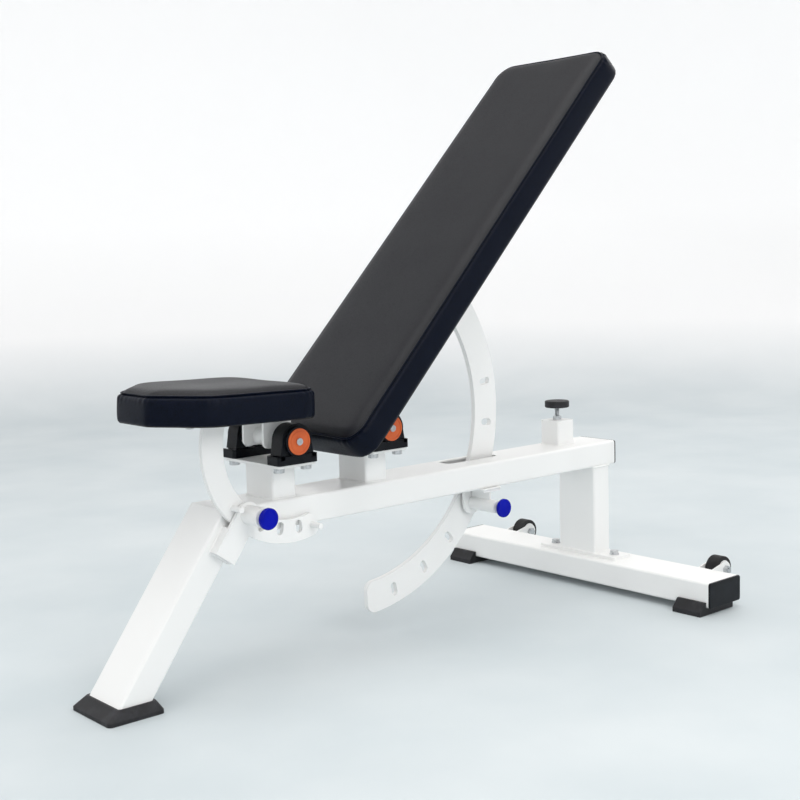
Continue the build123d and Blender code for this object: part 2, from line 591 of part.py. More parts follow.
def make_housings(pivot_y):
    """Pillow block: a foot, an arch round the bearing and a collar for the end cap."""
    half = BLOCK_W / 2
    y0, y1 = pivot_y - BLOCK_LEN / 2, pivot_y + BLOCK_LEN / 2
    base_top = PLATE_TOP + BLOCK_BASE
    base = block(BLOCK_X - half, BLOCK_X + half, y0, y1, PLATE_TOP, base_top)
    base = fillet(base.edges().filter_by(Axis.Z), BLOCK_BASE_R)
    arch_x0, arch_x1 = BLOCK_X - BLOCK_ARCH_W / 2, BLOCK_X + BLOCK_ARCH_W / 2
    cheek = make_face(Polyline([
        (pivot_y - BLOCK_ARCH_R - BLOCK_CHEEK, base_top), (pivot_y + BLOCK_ARCH_R + BLOCK_CHEEK, base_top),
        (pivot_y + BLOCK_ARCH_R, PIVOT_Z), (pivot_y - BLOCK_ARCH_R, PIVOT_Z)], close=True))
    body = base + along_x(cheek, arch_x0, arch_x1) + rod_x(BLOCK_ARCH_R, arch_x0, arch_x1, pivot_y, PIVOT_Z)
    body += rod_x(BLOCK_COLLAR_R, arch_x0, arch_x1 + BLOCK_COLLAR, pivot_y, PIVOT_Z)
    for way in (-1, 1):
        notch_y = pivot_y + way * (BLOCK_LEN / 2 - BLOCK_NOTCH_IN)
        body -= block(BLOCK_X - BLOCK_NOTCH, BLOCK_X + half + CUT, notch_y - BLOCK_NOTCH_HALF,
                      notch_y + BLOCK_NOTCH_HALF, base_top - BLOCK_NOTCH, base_top + CUT)
    body -= rod_x(BEARING_R, arch_x0 - CUT, arch_x1, pivot_y, PIVOT_Z)
    body -= rod_x(CAP_R, arch_x0, arch_x1 + BLOCK_COLLAR + CUT, pivot_y, PIVOT_Z)
    for x, y in block_bolt_places(pivot_y):
        if x > 0:
            body -= rod_z(M10_R, PLATE_TOP - CUT, base_top - BLOCK_BOLT_CAST, x, y)
    return both_sides(body)


def ball_circle():
    return (RACE_OUT_R + RACE_IN_R) / 2


def make_outer_rings():
    ring = rod_x(BEARING_R, BLOCK_X - BEARING_W / 2, BLOCK_X + BEARING_W / 2)
    ring -= rod_x(RACE_OUT_R, BLOCK_X - BEARING_W, BLOCK_X + BEARING_W)
    ring -= Pos(BLOCK_X, 0, 0) * Rot(0, 90, 0) * Torus(ball_circle(), BALL_R + BALL_GAP)
    return [Pos(0, y, PIVOT_Z) * r for y in (SEAT_PIVOT_Y, 0) for r in both_sides(ring)]


def make_inner_rings():
    ring = rod_x(RACE_IN_R, BLOCK_X - INNER_RING_W / 2, BLOCK_X + INNER_RING_W / 2)
    ring -= rod_x(SHAFT_R, BLOCK_X - INNER_RING_W, BLOCK_X + INNER_RING_W)
    ring -= Pos(BLOCK_X, 0, 0) * Rot(0, 90, 0) * Torus(ball_circle(), BALL_R + BALL_GAP)
    return both_sides(ring)


def make_balls():
    balls = []
    for pivot_y in (SEAT_PIVOT_Y, 0):
        for side in (-1, 1):
            for k in range(BALL_COUNT):
                y, z = polar(ball_circle(), 360 / BALL_COUNT * (k + 0.5))
                balls.append(Pos(side * BLOCK_X, pivot_y + y, PIVOT_Z + z) * Sphere(BALL_R))
    return balls


def make_bearing_caps():
    """Closed end caps: a disc with a raised rim and a centre boss."""
    x0 = BLOCK_X + BLOCK_ARCH_W / 2 + CAP_SEAT
    x1 = x0 + CAP_PLATE
    cap = rod_x(CAP_R, x0, x1)
    cap -= rod_x(CAP_R - CAP_RIM, x1 - CAP_DISH, x1 + CUT)
    cap += rod_x(CAP_R - 2 * CAP_RIM, x0, x1 - CAP_DISH / 3)
    cap += rod_x(CAP_BOSS_R, x0, x1 + CAP_BOSS)
    return [Pos(0, y, PIVOT_Z) * c for y in (SEAT_PIVOT_Y, 0) for c in both_sides(cap)]


def make_bearing_bolts():
    top = PLATE_TOP + BLOCK_BASE - BLOCK_BOLT_CAST - BLOCK_BOLT_SHY
    return [flange_bolt(PLATE_LOW, top, x, y) for py in (SEAT_PIVOT_Y, 0) for x, y in block_bolt_places(py)]


# ---- pull pins ---------------------------------------------------------------------
def leg_frame(x):
    """Drawing plane on the seat pin's axis, its x running up the leg."""
    return Plane(origin=(x, SEAT_PIN_Y, SEAT_PIN_Z),
                 x_dir=(0, cos(radians(LEG_ANGLE)), sin(radians(LEG_ANGLE))), z_dir=(1, 0, 0))


def make_seat_bracket():
    """Box on the leg's side, with an arm that reaches over the locking plate to the pin."""
    arm = Circle(ARM_HALF_W) + Pos(-BRACKET_END / 2, 0) * Rectangle(BRACKET_END, 2 * ARM_HALF_W)
    bracket = extrude(leg_frame(SEAT_ARM_X) * arm, amount=ARM_T)
    length = BRACKET_END - BRACKET_START
    foot = Pos(-BRACKET_START - length / 2, 0) * Rectangle(length, 2 * ARM_HALF_W)
    foot_x = TUBE_W / 2
    bracket += extrude(leg_frame(foot_x) * foot, amount=SEAT_ARM_X - foot_x)
    hollow = Pos(-BRACKET_START - length / 2, 0) * Rectangle(length - 2 * ARM_T, 2 * (ARM_HALF_W - ARM_T))
    bracket -= extrude(leg_frame(foot_x) * hollow, amount=SEAT_ARM_X - foot_x)
    return bracket - rod_x(PIN_R + PIN_GUIDE_GAP, foot_x, SEAT_BARREL_X + CUT, SEAT_PIN_Y, SEAT_PIN_Z)


def barrel(radius, x0, x1, bore_x0, y, z):
    """Pin housing: an open bore for the spring and an end wall that guides the pin."""
    body = rod_x(radius, x0, x1, y, z)
    edge = body.edges().filter_by(GeomType.CIRCLE).sort_by(Axis.X)[-1]
    body = fillet(edge, BARREL_R)
    body -= rod_x(BARREL_BORE_R, bore_x0, x1 - BARREL_END, y, z)
    return body - rod_x(PIN_R + PIN_GUIDE_GAP, x0 - CUT, x1 + CUT, y, z)


def make_back_hanger():
    """Plate on the beam's underside, a web round the barrel and a rib between the two."""
    y0, y1 = BACK_PIN_Y - HANGER_HALF_W, BACK_PIN_Y + HANGER_HALF_W
    plate = block(HANGER_X, HANGER_PLATE_END_X, y0, y1, BEAM_BOTTOM - HANGER_T, BEAM_BOTTOM)
    web = Pos(BACK_PIN_Y, BACK_PIN_Z) * Circle(HANGER_HALF_W)
    drop = BEAM_BOTTOM - HANGER_T - BACK_PIN_Z
    web += Pos(BACK_PIN_Y, BACK_PIN_Z + drop / 2) * Rectangle(2 * HANGER_HALF_W, drop)
    body = plate + along_x(web, HANGER_X, HANGER_X + HANGER_T)
    rib = HANGER_RIB_T / 2
    body += block(HANGER_X, HANGER_PLATE_END_X - HANGER_RIB_T, BACK_PIN_Y - rib, BACK_PIN_Y + rib,
                  BACK_PIN_Z, BEAM_BOTTOM - HANGER_T)
    return body - rod_x(BACK_BARREL_R, HANGER_X - CUT, BACK_BARREL_END_X, BACK_PIN_Y, BACK_PIN_Z)


def plunger(tip_x, barrel_end_x, travel, y, z):
    """Steel pin with a chamfered tip and the collar that the spring pushes on."""
    knob_x = barrel_end_x + travel + KNOB_SHY
    pin = rod_x(PIN_R, tip_x, knob_x + KNOB_SOCKET, y, z)
    pin = chamfer(pin.edges().filter_by(GeomType.CIRCLE).sort_by(Axis.X)[0], TIP_CHAMFER)
    collar_x = plunger_collar_x(barrel_end_x, travel)
    return pin + rod_x(COLLAR_R, collar_x, collar_x + COLLAR_T, y, z)


def plunger_collar_x(barrel_end_x, travel):
    """The collar's place, drawn, so that the pressed spring still has room."""
    return barrel_end_x - BARREL_END - COLLAR_T - travel * COLLAR_PLACE


def knob(barrel_end_x, travel, y, z):
    """Round pull knob, domed on its face and hollowed for the pin's end."""
    x0 = barrel_end_x + travel + KNOB_SHY
    disc = rod_x(KNOB_R, x0, x0 + KNOB_T, y, z)
    ends = disc.edges().filter_by(GeomType.CIRCLE).sort_by(Axis.X)
    disc = fillet(ends[-1], KNOB_DOME)
    disc = fillet(disc.edges().filter_by(GeomType.CIRCLE).sort_by(Axis.X)[0], KNOB_BACK)
    return disc - rod_x(PIN_R, x0 - CUT, x0 + KNOB_SOCKET, y, z)


def pin_spring(barrel_end_x, travel, y, z):
    """The spring, pressed between the plunger's collar and the barrel's end wall."""
    x0 = plunger_collar_x(barrel_end_x, travel) + COLLAR_T
    x1 = barrel_end_x - BARREL_END
    length = x1 - x0 - 2 * (SPRING_WIRE_R + SPRING_ROOM)
    path = Helix(pitch=length / SPRING_TURNS, height=length, radius=(PIN_R + BARREL_BORE_R) / 2)
    start = Plane(origin=path @ 0, z_dir=path % 0)
    coil = sweep(start * Circle(SPRING_WIRE_R), path=path)
    return Pos(x0 + SPRING_WIRE_R + SPRING_ROOM, y, z) * Rot(0, 90, 0) * coil


# ---- seat --------------------------------------------------------------------------
def seat_outline(inset=0.0):
    """Plan of the seat: straight sides, rounded rear corners and a nose that tapers in."""
    face = make_face(Polyline([
        (-SEAT_NOSE_HALF_X, -SEAT_FRONT), (SEAT_NOSE_HALF_X, -SEAT_FRONT),
        (SEAT_HALF_X, SEAT_TAPER - SEAT_FRONT), (SEAT_HALF_X, SEAT_REAR),
        (-SEAT_HALF_X, SEAT_REAR), (-SEAT_HALF_X, SEAT_TAPER - SEAT_FRONT)], close=True))
    corners = face.vertices().group_by(Axis.Y)
    face = fillet(corners[-1], SEAT_CORNER_R)
    face = fillet([v for v in face.vertices() if abs(v.Y - SEAT_TAPER + SEAT_FRONT) < 0.01], SEAT_SHOULDER_R)
    face = fillet([v for v in face.vertices() if abs(v.Y + SEAT_FRONT) < 0.01], SEAT_NOSE_R)
    return offset(face, -inset) if inset else face


def back_outline(inset=0.0):
    length = BACK_ABOVE + BACK_BELOW
    return Pos(0, (BACK_ABOVE - BACK_BELOW) / 2) * RectangleRounded(
        2 * (BACK_HALF_X - inset), length - 2 * inset, BACK_CORNER_R - inset)


def make_board(outline, low):
    """Plywood board inside the pad's underside."""
    return along_z(outline, low, low + BOARD_T)


def make_pad(outline, board, low):
    """Cushion with upright sides and a shallow crown, hollowed for its board."""
    side = along_z(outline, low, low + PAD_SIDE)
    crown = extrude(Pos(0, 0, low + PAD_SIDE) * outline, amount=PAD_CROWN, taper=PAD_CROWN_TAPER)
    return side + crown - board


def ear_face():
    return make_face(Polyline([
        (-EAR_FRONT, SEAT_OFFSET - CARRIER_T), (-EAR_FRONT, -EAR_DROP), (EAR_REAR, -EAR_DROP),
        (EAR_REAR, SEAT_OFFSET - CARRIER_T)], close=True))


def make_seat_carrier():
    """Plate under the seat with two ears that hang on the shaft."""
    low = SEAT_OFFSET - CARRIER_T
    mid = (CARRIER_REAR - CARRIER_FRONT) / 2
    outline = Pos(0, mid) * RectangleRounded(2 * CARRIER_HALF_X, CARRIER_FRONT + CARRIER_REAR, CARRIER_R)
    body = along_z(outline, low, SEAT_OFFSET)
    ear = along_x(ear_face(), EAR_IN, EAR_IN + EAR_T)
    rounding = ear.edges().filter_by(Axis.X).group_by(Axis.Z)[0]
    ear = fillet(rounding, EAR_R) - rod_x(SHAFT_R, EAR_IN - CUT, EAR_IN + EAR_T + CUT)
    for one in both_sides(ear):
        body += one
    for x, y in seat_screw_places():
        body -= rod_z(SCREW_R, low - CUT, SEAT_OFFSET + CUT, x, y)
    return body


def seat_screw_places():
    x = (EAR_IN + EAR_T + SEAT_ARC_X) / 2
    return [(sx * x, y) for sx in (-1, 1) for y in (SEAT_SCREW_FRONT - CARRIER_FRONT, -SEAT_SCREW_REAR)]


def screw(x, y, face, depth):
    """Round-head screw whose head sits under the height given."""
    head = rod_z(SCREW_HEAD_R, face - SCREW_HEAD, face, x, y)
    head = fillet(head.edges().sort_by(Axis.Z)[0], SCREW_HEAD / 2)
    return head + rod_z(SCREW_R, face, face + depth, x, y)


def make_seat_sleeves():
    """Hub tube between the ears, and a spacer from each ear to its bearing."""
    out = BLOCK_X - INNER_RING_W / 2
    hub = rod_x(SLEEVE_R, -EAR_IN, EAR_IN) - rod_x(SHAFT_R, -EAR_IN - CUT, EAR_IN + CUT)
    spacer = rod_x(RACE_IN_R, EAR_IN + EAR_T, out) - rod_x(SHAFT_R, EAR_IN, out + CUT)
    return [hub] + both_sides(spacer)


def seat_slot_angles():
    return [SEAT_PIN_ANGLE + SEAT_TILT + k * SEAT_STEP for k in range(SEAT_STEPS + 1)]


def make_seat_arc():
    """Locking plate: a ring sector that hangs from the carrier beside the frame."""
    top = SEAT_OFFSET - CARRIER_T
    face = sector(SEAT_ARC_R, SEAT_ARC_W, SEAT_ARC_HEAD, SEAT_ARC_END + SEAT_TILT, SEAT_ARC_TIP_R)
    for slot in radial_slots(SEAT_SLOT_R, SEAT_SLOT_LEN, seat_slot_angles()):
        face -= slot
    plate = along_x(face, SEAT_ARC_X, SEAT_ARC_OUT)
    return plate & below(top)


def peg_lead():
    """Angle between the pull pin and a stop peg that touches the bracket's edge."""
    return degrees(asin((ARM_HALF_W + PEG_R + PEG_GAP) / PEG_PITCH_R))


def make_seat_pegs():
    """Stop pegs: one meets the bracket with the seat lowest, the other with it highest."""
    low = SEAT_PIN_ANGLE - peg_lead() + SEAT_TILT
    high = SEAT_PIN_ANGLE + SEAT_STEP * SEAT_STEPS + peg_lead() + SEAT_TILT
    pegs = []
    for angle in (low, high):
        y, z = polar(PEG_PITCH_R, angle)
        pegs.append(rod_x(PEG_R, SEAT_ARC_OUT, SEAT_ARC_OUT + PEG_LEN, y, z))
    return pegs


# ---- backrest ----------------------------------------------------------------------
def back_screw_places():
    return [(sx * (CROSS_HALF_X - CROSS_SCREW_IN), y) for sx in (-1, 1) for y in CROSS_AT]


def make_back_tube():
    middle = (BACK_TUBE_TOP + BACK_TUBE_LOW) / 2
    section = Pos(-OFFSET_X, middle) * ring_section(BACK_TUBE, BACK_TUBE, BACK_TUBE_WALL, BACK_TUBE_R)
    return along_y(section, 0, BACK_TUBE_LEN) - rod_x(SLEEVE_R, -TUBE_W, TUBE_W)


def make_back_tube_cap():
    middle = (BACK_TUBE_TOP + BACK_TUBE_LOW) / 2
    cap = end_cap(BACK_TUBE, BACK_TUBE, BACK_TUBE_WALL, BACK_TUBE_R)
    return Pos(OFFSET_X, BACK_TUBE_LEN, middle) * Rot(-90, 0, 0) * cap


def make_cross_plates():
    plates = []
    for y in CROSS_AT:
        outline = Pos(0, y) * RectangleRounded(2 * CROSS_HALF_X, CROSS_W, CROSS_R)
        plates.append(along_z(outline, BACK_TUBE_TOP, BACK_OFFSET))
    holes = [rod_z(SCREW_R, BACK_TUBE_TOP - CUT, BACK_OFFSET + CUT, x, y) for x, y in back_screw_places()]
    return [plate - holes for plate in plates]


def make_back_sleeve():
    out = BLOCK_X - INNER_RING_W / 2
    return rod_x(SLEEVE_R, -out, out) - rod_x(SHAFT_R, -out - CUT, out + CUT)


def back_slot_angles():
    first = BACK_PIN_ANGLE - BACK_ANGLE
    return [first + k * BACK_STEP for k in range(-BACK_STEPS_UP, BACK_STEPS_DOWN + 1)]


def make_back_arc():
    """Locking plate: a ring sector under the backrest tube, through the beam."""
    face = sector(BACK_ARC_R, BACK_ARC_W, 0, BACK_ARC_END - BACK_ANGLE, BACK_ARC_TIP_R)
    for slot in radial_slots(BACK_PIN_R, BACK_SLOT_LEN, back_slot_angles()):
        face -= slot
    half = BACK_ARC_T / 2
    plate = along_x(face, OFFSET_X - half, OFFSET_X + half)
    return plate & below(BACK_TUBE_LOW)


# ---- backrest stop and wheels ------------------------------------------------------
def make_stop_block():
    section = Pos(OFFSET_X, STOP_Y) * ring_section(STOP_TUBE, STOP_TUBE, STOP_WALL, TUBE_R)
    body = along_z(section, BEAM_TOP, STOP_BLOCK_TOP - STOP_TOP_T)
    lid = Pos(OFFSET_X, STOP_Y) * RectangleRounded(STOP_TUBE, STOP_TUBE, TUBE_R)
    body += along_z(lid, STOP_BLOCK_TOP - STOP_TOP_T, STOP_BLOCK_TOP)
    return body - rod_z(M10_R + BOLT_GAP, BEAM_TOP, STOP_BLOCK_TOP + CUT, OFFSET_X, STOP_Y)


def make_stop_stud():
    return rod_z(M10_R, STUD_LOW, STOP_PAD_TOP - STOP_PAD_T + STOP_STUD_SOCKET, OFFSET_X, STOP_Y)


def make_stop_pad():
    low = STOP_PAD_TOP - STOP_PAD_T
    pad = rod_z(STOP_PAD_R, low, STOP_PAD_TOP, OFFSET_X, STOP_Y)
    pad = fillet(pad.edges().filter_by(GeomType.CIRCLE), STOP_PAD_EDGE)
    return pad - rod_z(M10_R, low - CUT, low + STOP_STUD_SOCKET, OFFSET_X, STOP_Y)


def fork_half():
    return WHEEL_W / 2 + FORK_GAP + FORK_T


def make_wheel_forks():
    """U-shaped steel fork on the stabiliser's rear face."""
    inner = WHEEL_W / 2 + FORK_GAP
    cheek = Pos(WHEEL_Y, WHEEL_Z) * Circle(FORK_HALF_H)
    top = min(WHEEL_Z + FORK_HALF_H, STAB_TOP - TUBE_R)
    low = WHEEL_Z - FORK_HALF_H
    cheek += make_face(Polyline([
        (STAB_REAR_Y, low), (WHEEL_Y, low), (WHEEL_Y, WHEEL_Z + FORK_HALF_H),
        (STAB_REAR_Y, top)], close=True))
    fork = block(WHEEL_X - fork_half(), WHEEL_X + fork_half(),
                 STAB_REAR_Y, STAB_REAR_Y + FORK_T, low, top)
    for side in (-1, 1):
        near = WHEEL_X + side * inner
        far = near + side * FORK_T
        fork += along_x(cheek, min(near, far), max(near, far))
    fork -= rod_x(M10_R, WHEEL_X - fork_half() - CUT, WHEEL_X + fork_half() + CUT, WHEEL_Y, WHEEL_Z)
    return both_sides(fork)


def make_axle_bolts():
    """Hex bolt through each fork: its head inside, its nut on the outer cheek."""
    x0, x1 = WHEEL_X - fork_half(), WHEEL_X + fork_half() + M10_NUT + BOLT_END
    bolt = rod_x(M10_R, x0 - M10_HEAD, x1, WHEEL_Y, WHEEL_Z)
    bolt += along_x(Pos(WHEEL_Y, WHEEL_Z) * hexagon(M10_HEX), x0 - M10_HEAD, x0)
    return both_sides(bolt)


def make_wheel_hub():
    half = WHEEL_W / 2
    hub = rod_x(HUB_R, WHEEL_X - half, WHEEL_X + half, WHEEL_Y, WHEEL_Z)
    for side in (-1, 1):
        face = WHEEL_X + side * half
        dish = rod_x(HUB_R - HUB_RIM, face - side * HUB_DISH, face + side * CUT, WHEEL_Y, WHEEL_Z)
        hub -= dish - rod_x(M10_R + HUB_BOSS, WHEEL_X, face + side * 2 * CUT, WHEEL_Y, WHEEL_Z)
    return hub - rod_x(M10_R + AXLE_GAP, WHEEL_X - WHEEL_W, WHEEL_X + WHEEL_W, WHEEL_Y, WHEEL_Z)


def make_wheel_tyre():
    half = WHEEL_W / 2
    tyre = rod_x(WHEEL_R, WHEEL_X - half, WHEEL_X + half, WHEEL_Y, WHEEL_Z)
    tyre = fillet(tyre.edges().filter_by(GeomType.CIRCLE), TYRE_EDGE)
    return tyre - rod_x(HUB_R, WHEEL_X - WHEEL_W, WHEEL_X + WHEEL_W, WHEEL_Y, WHEEL_Z)


# ---- assembly ----------------------------------------------------------------------
def frame_nodes():
    return {
        "main_beam": make_beam(),
        "front_leg": make_leg(),
        "front_foot_boot": make_boot(),
        "rear_post": make_post(),
        "post_base_plate": make_base_plate(),
        "rear_stabiliser": make_stabiliser(),
        "base_bolts": make_base_bolts(),
        "lock_nuts": make_lock_nuts(),
        "stabiliser_caps": make_stabiliser_caps(),
        "beam_end_cap": make_beam_cap(),
        "rear_feet": make_rear_feet(),
        "seat_riser": make_riser(SEAT_PIVOT_Y),
        "back_riser": make_riser(0),
        "seat_bearing_plate": make_bearing_plate(SEAT_PIVOT_Y),
        "back_bearing_plate": make_bearing_plate(0),
        "seat_bearing_housings": make_housings(SEAT_PIVOT_Y),
        "back_bearing_housings": make_housings(0),
        "bearing_outer_rings": make_outer_rings(),
        "bearing_balls": make_balls(),
        "bearing_end_caps": make_bearing_caps(),
        "bearing_bolts": make_bearing_bolts(),
        "seat_pin_bracket": make_seat_bracket(),
        "seat_pin_barrel": barrel(SEAT_BARREL_R, SEAT_BARREL_X, SEAT_BARREL_END_X, SEAT_BARREL_X - CUT,
                                  SEAT_PIN_Y, SEAT_PIN_Z),
        "back_pin_hanger": make_back_hanger(),
        "back_pin_barrel": barrel(BACK_BARREL_R, HANGER_X, BACK_BARREL_END_X, HANGER_X + HANGER_T,
                                  BACK_PIN_Y, BACK_PIN_Z),
        "stop_block": make_stop_block(),
        "wheel_forks": make_wheel_forks(),
        "wheel_axle_bolts": make_axle_bolts(),
    }


def seat_nodes():
    face = SEAT_OFFSET - CARRIER_T
    depth = CARRIER_T + SCREW_IN_BOARD
    board = make_board(seat_outline(BOARD_INSET), SEAT_OFFSET)
    screws = [screw(x, y, face, depth) for x, y in seat_screw_places()]
    holes = [rod_z(SCREW_R, SEAT_OFFSET - CUT, face + depth, x, y) for x, y in seat_screw_places()]
    nodes = {
        "seat_board": board - holes,
        "seat_pad": make_pad(seat_outline(), board, SEAT_OFFSET),
        "seat_carrier": make_seat_carrier(),
        "seat_shaft": rod_x(SHAFT_R, -SHAFT_HALF, SHAFT_HALF),
        "seat_sleeves": make_seat_sleeves(),
        "seat_bearing_inner_rings": make_inner_rings(),
        "seat_lock_arc": make_seat_arc(),
        "seat_stop_pegs": make_seat_pegs(),
        "seat_screws": screws,
    }
    return {name: moved(to_seat, part) for name, part in nodes.items()}


def back_nodes():
    face = BACK_TUBE_TOP
    depth = CROSS_T + SCREW_IN_BOARD
    board = make_board(back_outline(BOARD_INSET), BACK_OFFSET)
    screws = [screw(x, y, face, depth) for x, y in back_screw_places()]
    holes = [rod_z(SCREW_R, BACK_OFFSET - CUT, face + depth, x, y) for x, y in back_screw_places()]
    nodes = {
        "back_board": board - holes,
        "back_pad": make_pad(back_outline(), board, BACK_OFFSET),
        "back_tube": make_back_tube(),
        "back_tube_cap": make_back_tube_cap(),
        "back_cross_plates": make_cross_plates(),
        "back_shaft": rod_x(SHAFT_R, -SHAFT_HALF, SHAFT_HALF),
        "back_sleeve": make_back_sleeve(),
        "back_bearing_inner_rings": make_inner_rings(),
        "back_lock_arc": make_back_arc(),
        "back_screws": screws,
    }
    return {name: moved(to_back, part) for name, part in nodes.items()}


def moving_nodes():
    seat = (SEAT_BARREL_END_X, SEAT_PIN_TRAVEL, SEAT_PIN_Y, SEAT_PIN_Z)
    back = (BACK_BARREL_END_X, BACK_PIN_TRAVEL, BACK_PIN_Y, BACK_PIN_Z)
    right_hub, right_tyre = make_wheel_hub(), make_wheel_tyre()
    return {
        "seat_plunger": plunger(SEAT_TIP_X, *seat),
        "seat_knob": knob(*seat),
        "seat_pin_spring": pin_spring(*seat),
        "back_plunger": plunger(BACK_TIP_X, *back),
        "back_knob": knob(*back),
        "back_pin_spring": pin_spring(*back),
        "stop_stud": make_stop_stud(),
        "stop_pad": make_stop_pad(),
        "wheel_hub_right": right_hub,
        "wheel_tyre_right": right_tyre,
        "wheel_hub_left": mirror(right_hub, about=Plane.YZ),
        "wheel_tyre_left": mirror(right_tyre, about=Plane.YZ),
    }


def moved(place, part):
    """Apply a placing function to one solid or to each of a group."""
    if isinstance(part, list):
        return [place(one) for one in part]
    return place(part)


def main():
    os.makedirs("parts", exist_ok=True)
    nodes = {**frame_nodes(), **seat_nodes(), **back_nodes(), **moving_nodes()}
    to_origin = Pos(0, -ORIGIN_Y, 0)
    for name, part in nodes.items():
        placed = moved(lambda one: to_origin * one, part)
        if isinstance(placed, list):
            solids = [solid for one in placed for solid in one.solids()]
        else:
            solids = placed.solids()
        shape = solids[0] if len(solids) == 1 else Compound(children=list(solids))
        export_step(shape, f"parts/{name}.step")
    print(f"{len(nodes)} nodes, origin shifted by {ORIGIN_Y:.3f}")
    print(f"seat shaft at Y {SEAT_PIVOT_Y - ORIGIN_Y:.3f}, backrest shaft at Y {-ORIGIN_Y:.3f}")
    print(f"both shafts at Z {PIVOT_Z:.3f}")
    print(f"pin travel: seat {SEAT_PIN_TRAVEL:.3f}, backrest {BACK_PIN_TRAVEL:.3f}")
    print(f"wheel axle at Y {WHEEL_Y - ORIGIN_Y:.3f}, Z {WHEEL_Z:.3f}")


main()
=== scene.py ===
# %% [markdown]
# An adjustable weight bench: a white tube frame, a seat and a backrest that tilt on bearing
# shafts, and two upholstered pads. The metal, plastic and rubber parts already exist as exact
# solids. This lesson loads them, gives each one its real finish, and then makes what solids
# can't show well: the sewn vinyl pads, the weld beads, the thread and the staples.

# %% Load the solids
import json
from math import atan2, ceil, cos, degrees, exp, pi, radians, sin, tau

import bmesh
import bpy
import numpy as np
from mathutils import Matrix, Vector
from mathutils.kdtree import KDTree


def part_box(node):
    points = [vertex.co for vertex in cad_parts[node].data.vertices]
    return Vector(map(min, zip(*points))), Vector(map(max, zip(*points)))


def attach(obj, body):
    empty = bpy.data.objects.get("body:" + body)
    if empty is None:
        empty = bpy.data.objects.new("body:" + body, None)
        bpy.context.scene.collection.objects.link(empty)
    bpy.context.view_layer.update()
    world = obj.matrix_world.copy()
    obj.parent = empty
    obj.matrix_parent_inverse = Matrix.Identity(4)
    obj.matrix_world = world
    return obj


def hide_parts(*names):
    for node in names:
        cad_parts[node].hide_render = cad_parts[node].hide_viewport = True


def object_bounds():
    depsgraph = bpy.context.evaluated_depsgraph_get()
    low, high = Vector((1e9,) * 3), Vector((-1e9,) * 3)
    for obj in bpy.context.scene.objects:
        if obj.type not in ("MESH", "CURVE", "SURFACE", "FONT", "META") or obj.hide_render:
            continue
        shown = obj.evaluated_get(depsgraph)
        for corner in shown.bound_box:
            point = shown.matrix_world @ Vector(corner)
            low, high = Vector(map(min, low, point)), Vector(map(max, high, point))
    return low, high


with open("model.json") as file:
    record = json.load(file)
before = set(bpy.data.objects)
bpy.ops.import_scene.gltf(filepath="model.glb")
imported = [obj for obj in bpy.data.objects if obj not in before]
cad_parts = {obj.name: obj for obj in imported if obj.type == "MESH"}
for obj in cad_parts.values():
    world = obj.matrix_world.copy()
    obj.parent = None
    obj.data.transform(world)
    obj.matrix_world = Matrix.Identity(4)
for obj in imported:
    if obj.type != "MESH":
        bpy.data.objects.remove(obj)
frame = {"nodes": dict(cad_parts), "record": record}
cad_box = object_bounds()
nodes = frame["nodes"]
record = frame["record"]
scene = bpy.context.scene
MM = 0.001
print("solids:", len(nodes), "box from", tuple(cad_box[0]), "to", tuple(cad_box[1]))

# %% [markdown]
# Colours are written as the hex values that a paint or fabric chart gives. A renderer works
# with light, not with screen values, so one function turns each hex value to linear light.

# %% Colours


def linear(hex_colour):
    """Linear RGBA of an sRGB hex colour."""
    channels = [int(hex_colour[i:i + 2], 16) / 255 for i in (1, 3, 5)]
    light = [c / 12.92 if c <= 0.04045 else ((c + 0.055) / 1.055) ** 2.4 for c in channels]
    return (*light, 1.0)


print("mid grey in linear light:", round(linear("#808080")[0], 3))

# %% [markdown]
# A material is a small network. Each node is added in one call: what kind it is, what goes
# into its sockets, and its settings. A socket takes a number, a colour or another node's
# output.

# %% Material helpers


def add(tree, kind, inputs=(), **settings):
    """Add one shader node, with its settings, its values and its links."""
    made = tree.nodes.new("ShaderNode" + kind)
    for key, value in settings.items():
        setattr(made, key, value)
    for key, value in dict(inputs).items():
        if isinstance(value, bpy.types.NodeSocket):
            tree.links.new(value, made.inputs[key])
        else:
            made.inputs[key].default_value = value
    return made


def per_metre(size_mm):
    """Texture scale that makes a pattern's cell this many millimetres wide."""
    return 1 / (size_mm * MM)


def blank(name):
    """An empty material and its node tree."""
    material = bpy.data.materials.new(name)
    material.use_nodes = True
    material.node_tree.nodes.clear()
    return material, material.node_tree


def close(tree, shader):
    """Join the shader to the material's output."""
    add(tree, "OutputMaterial", {"Surface": shader.outputs[0]})


def between(tree, value, low, high, colour_a, colour_b):
    """Blend two colours as a texture value goes from low to high."""
    ramp = add(tree, "ValToRGB", {"Fac": value})
    ramp.color_ramp.elements[0].position = low
    ramp.color_ramp.elements[0].color = linear(colour_a)
    ramp.color_ramp.elements[1].position = high
    ramp.color_ramp.elements[1].color = linear(colour_b)
    return ramp.outputs["Color"]


finishes = {}
print("a 2 mm pattern has scale", per_metre(2))

# %% [markdown]
# The frame is powder coated: dry paint powder is sprayed on and melted in an oven. It flows
# into a thick gloss skin with a faint orange-peel ripple, and it rounds every cut edge. The
# real ripple is about 2 mm long, which is drawn at 5 mm so that it shows. A Bevel node
# softens the edges in the shading by the thickness of the coat and the tube's deburred edge.

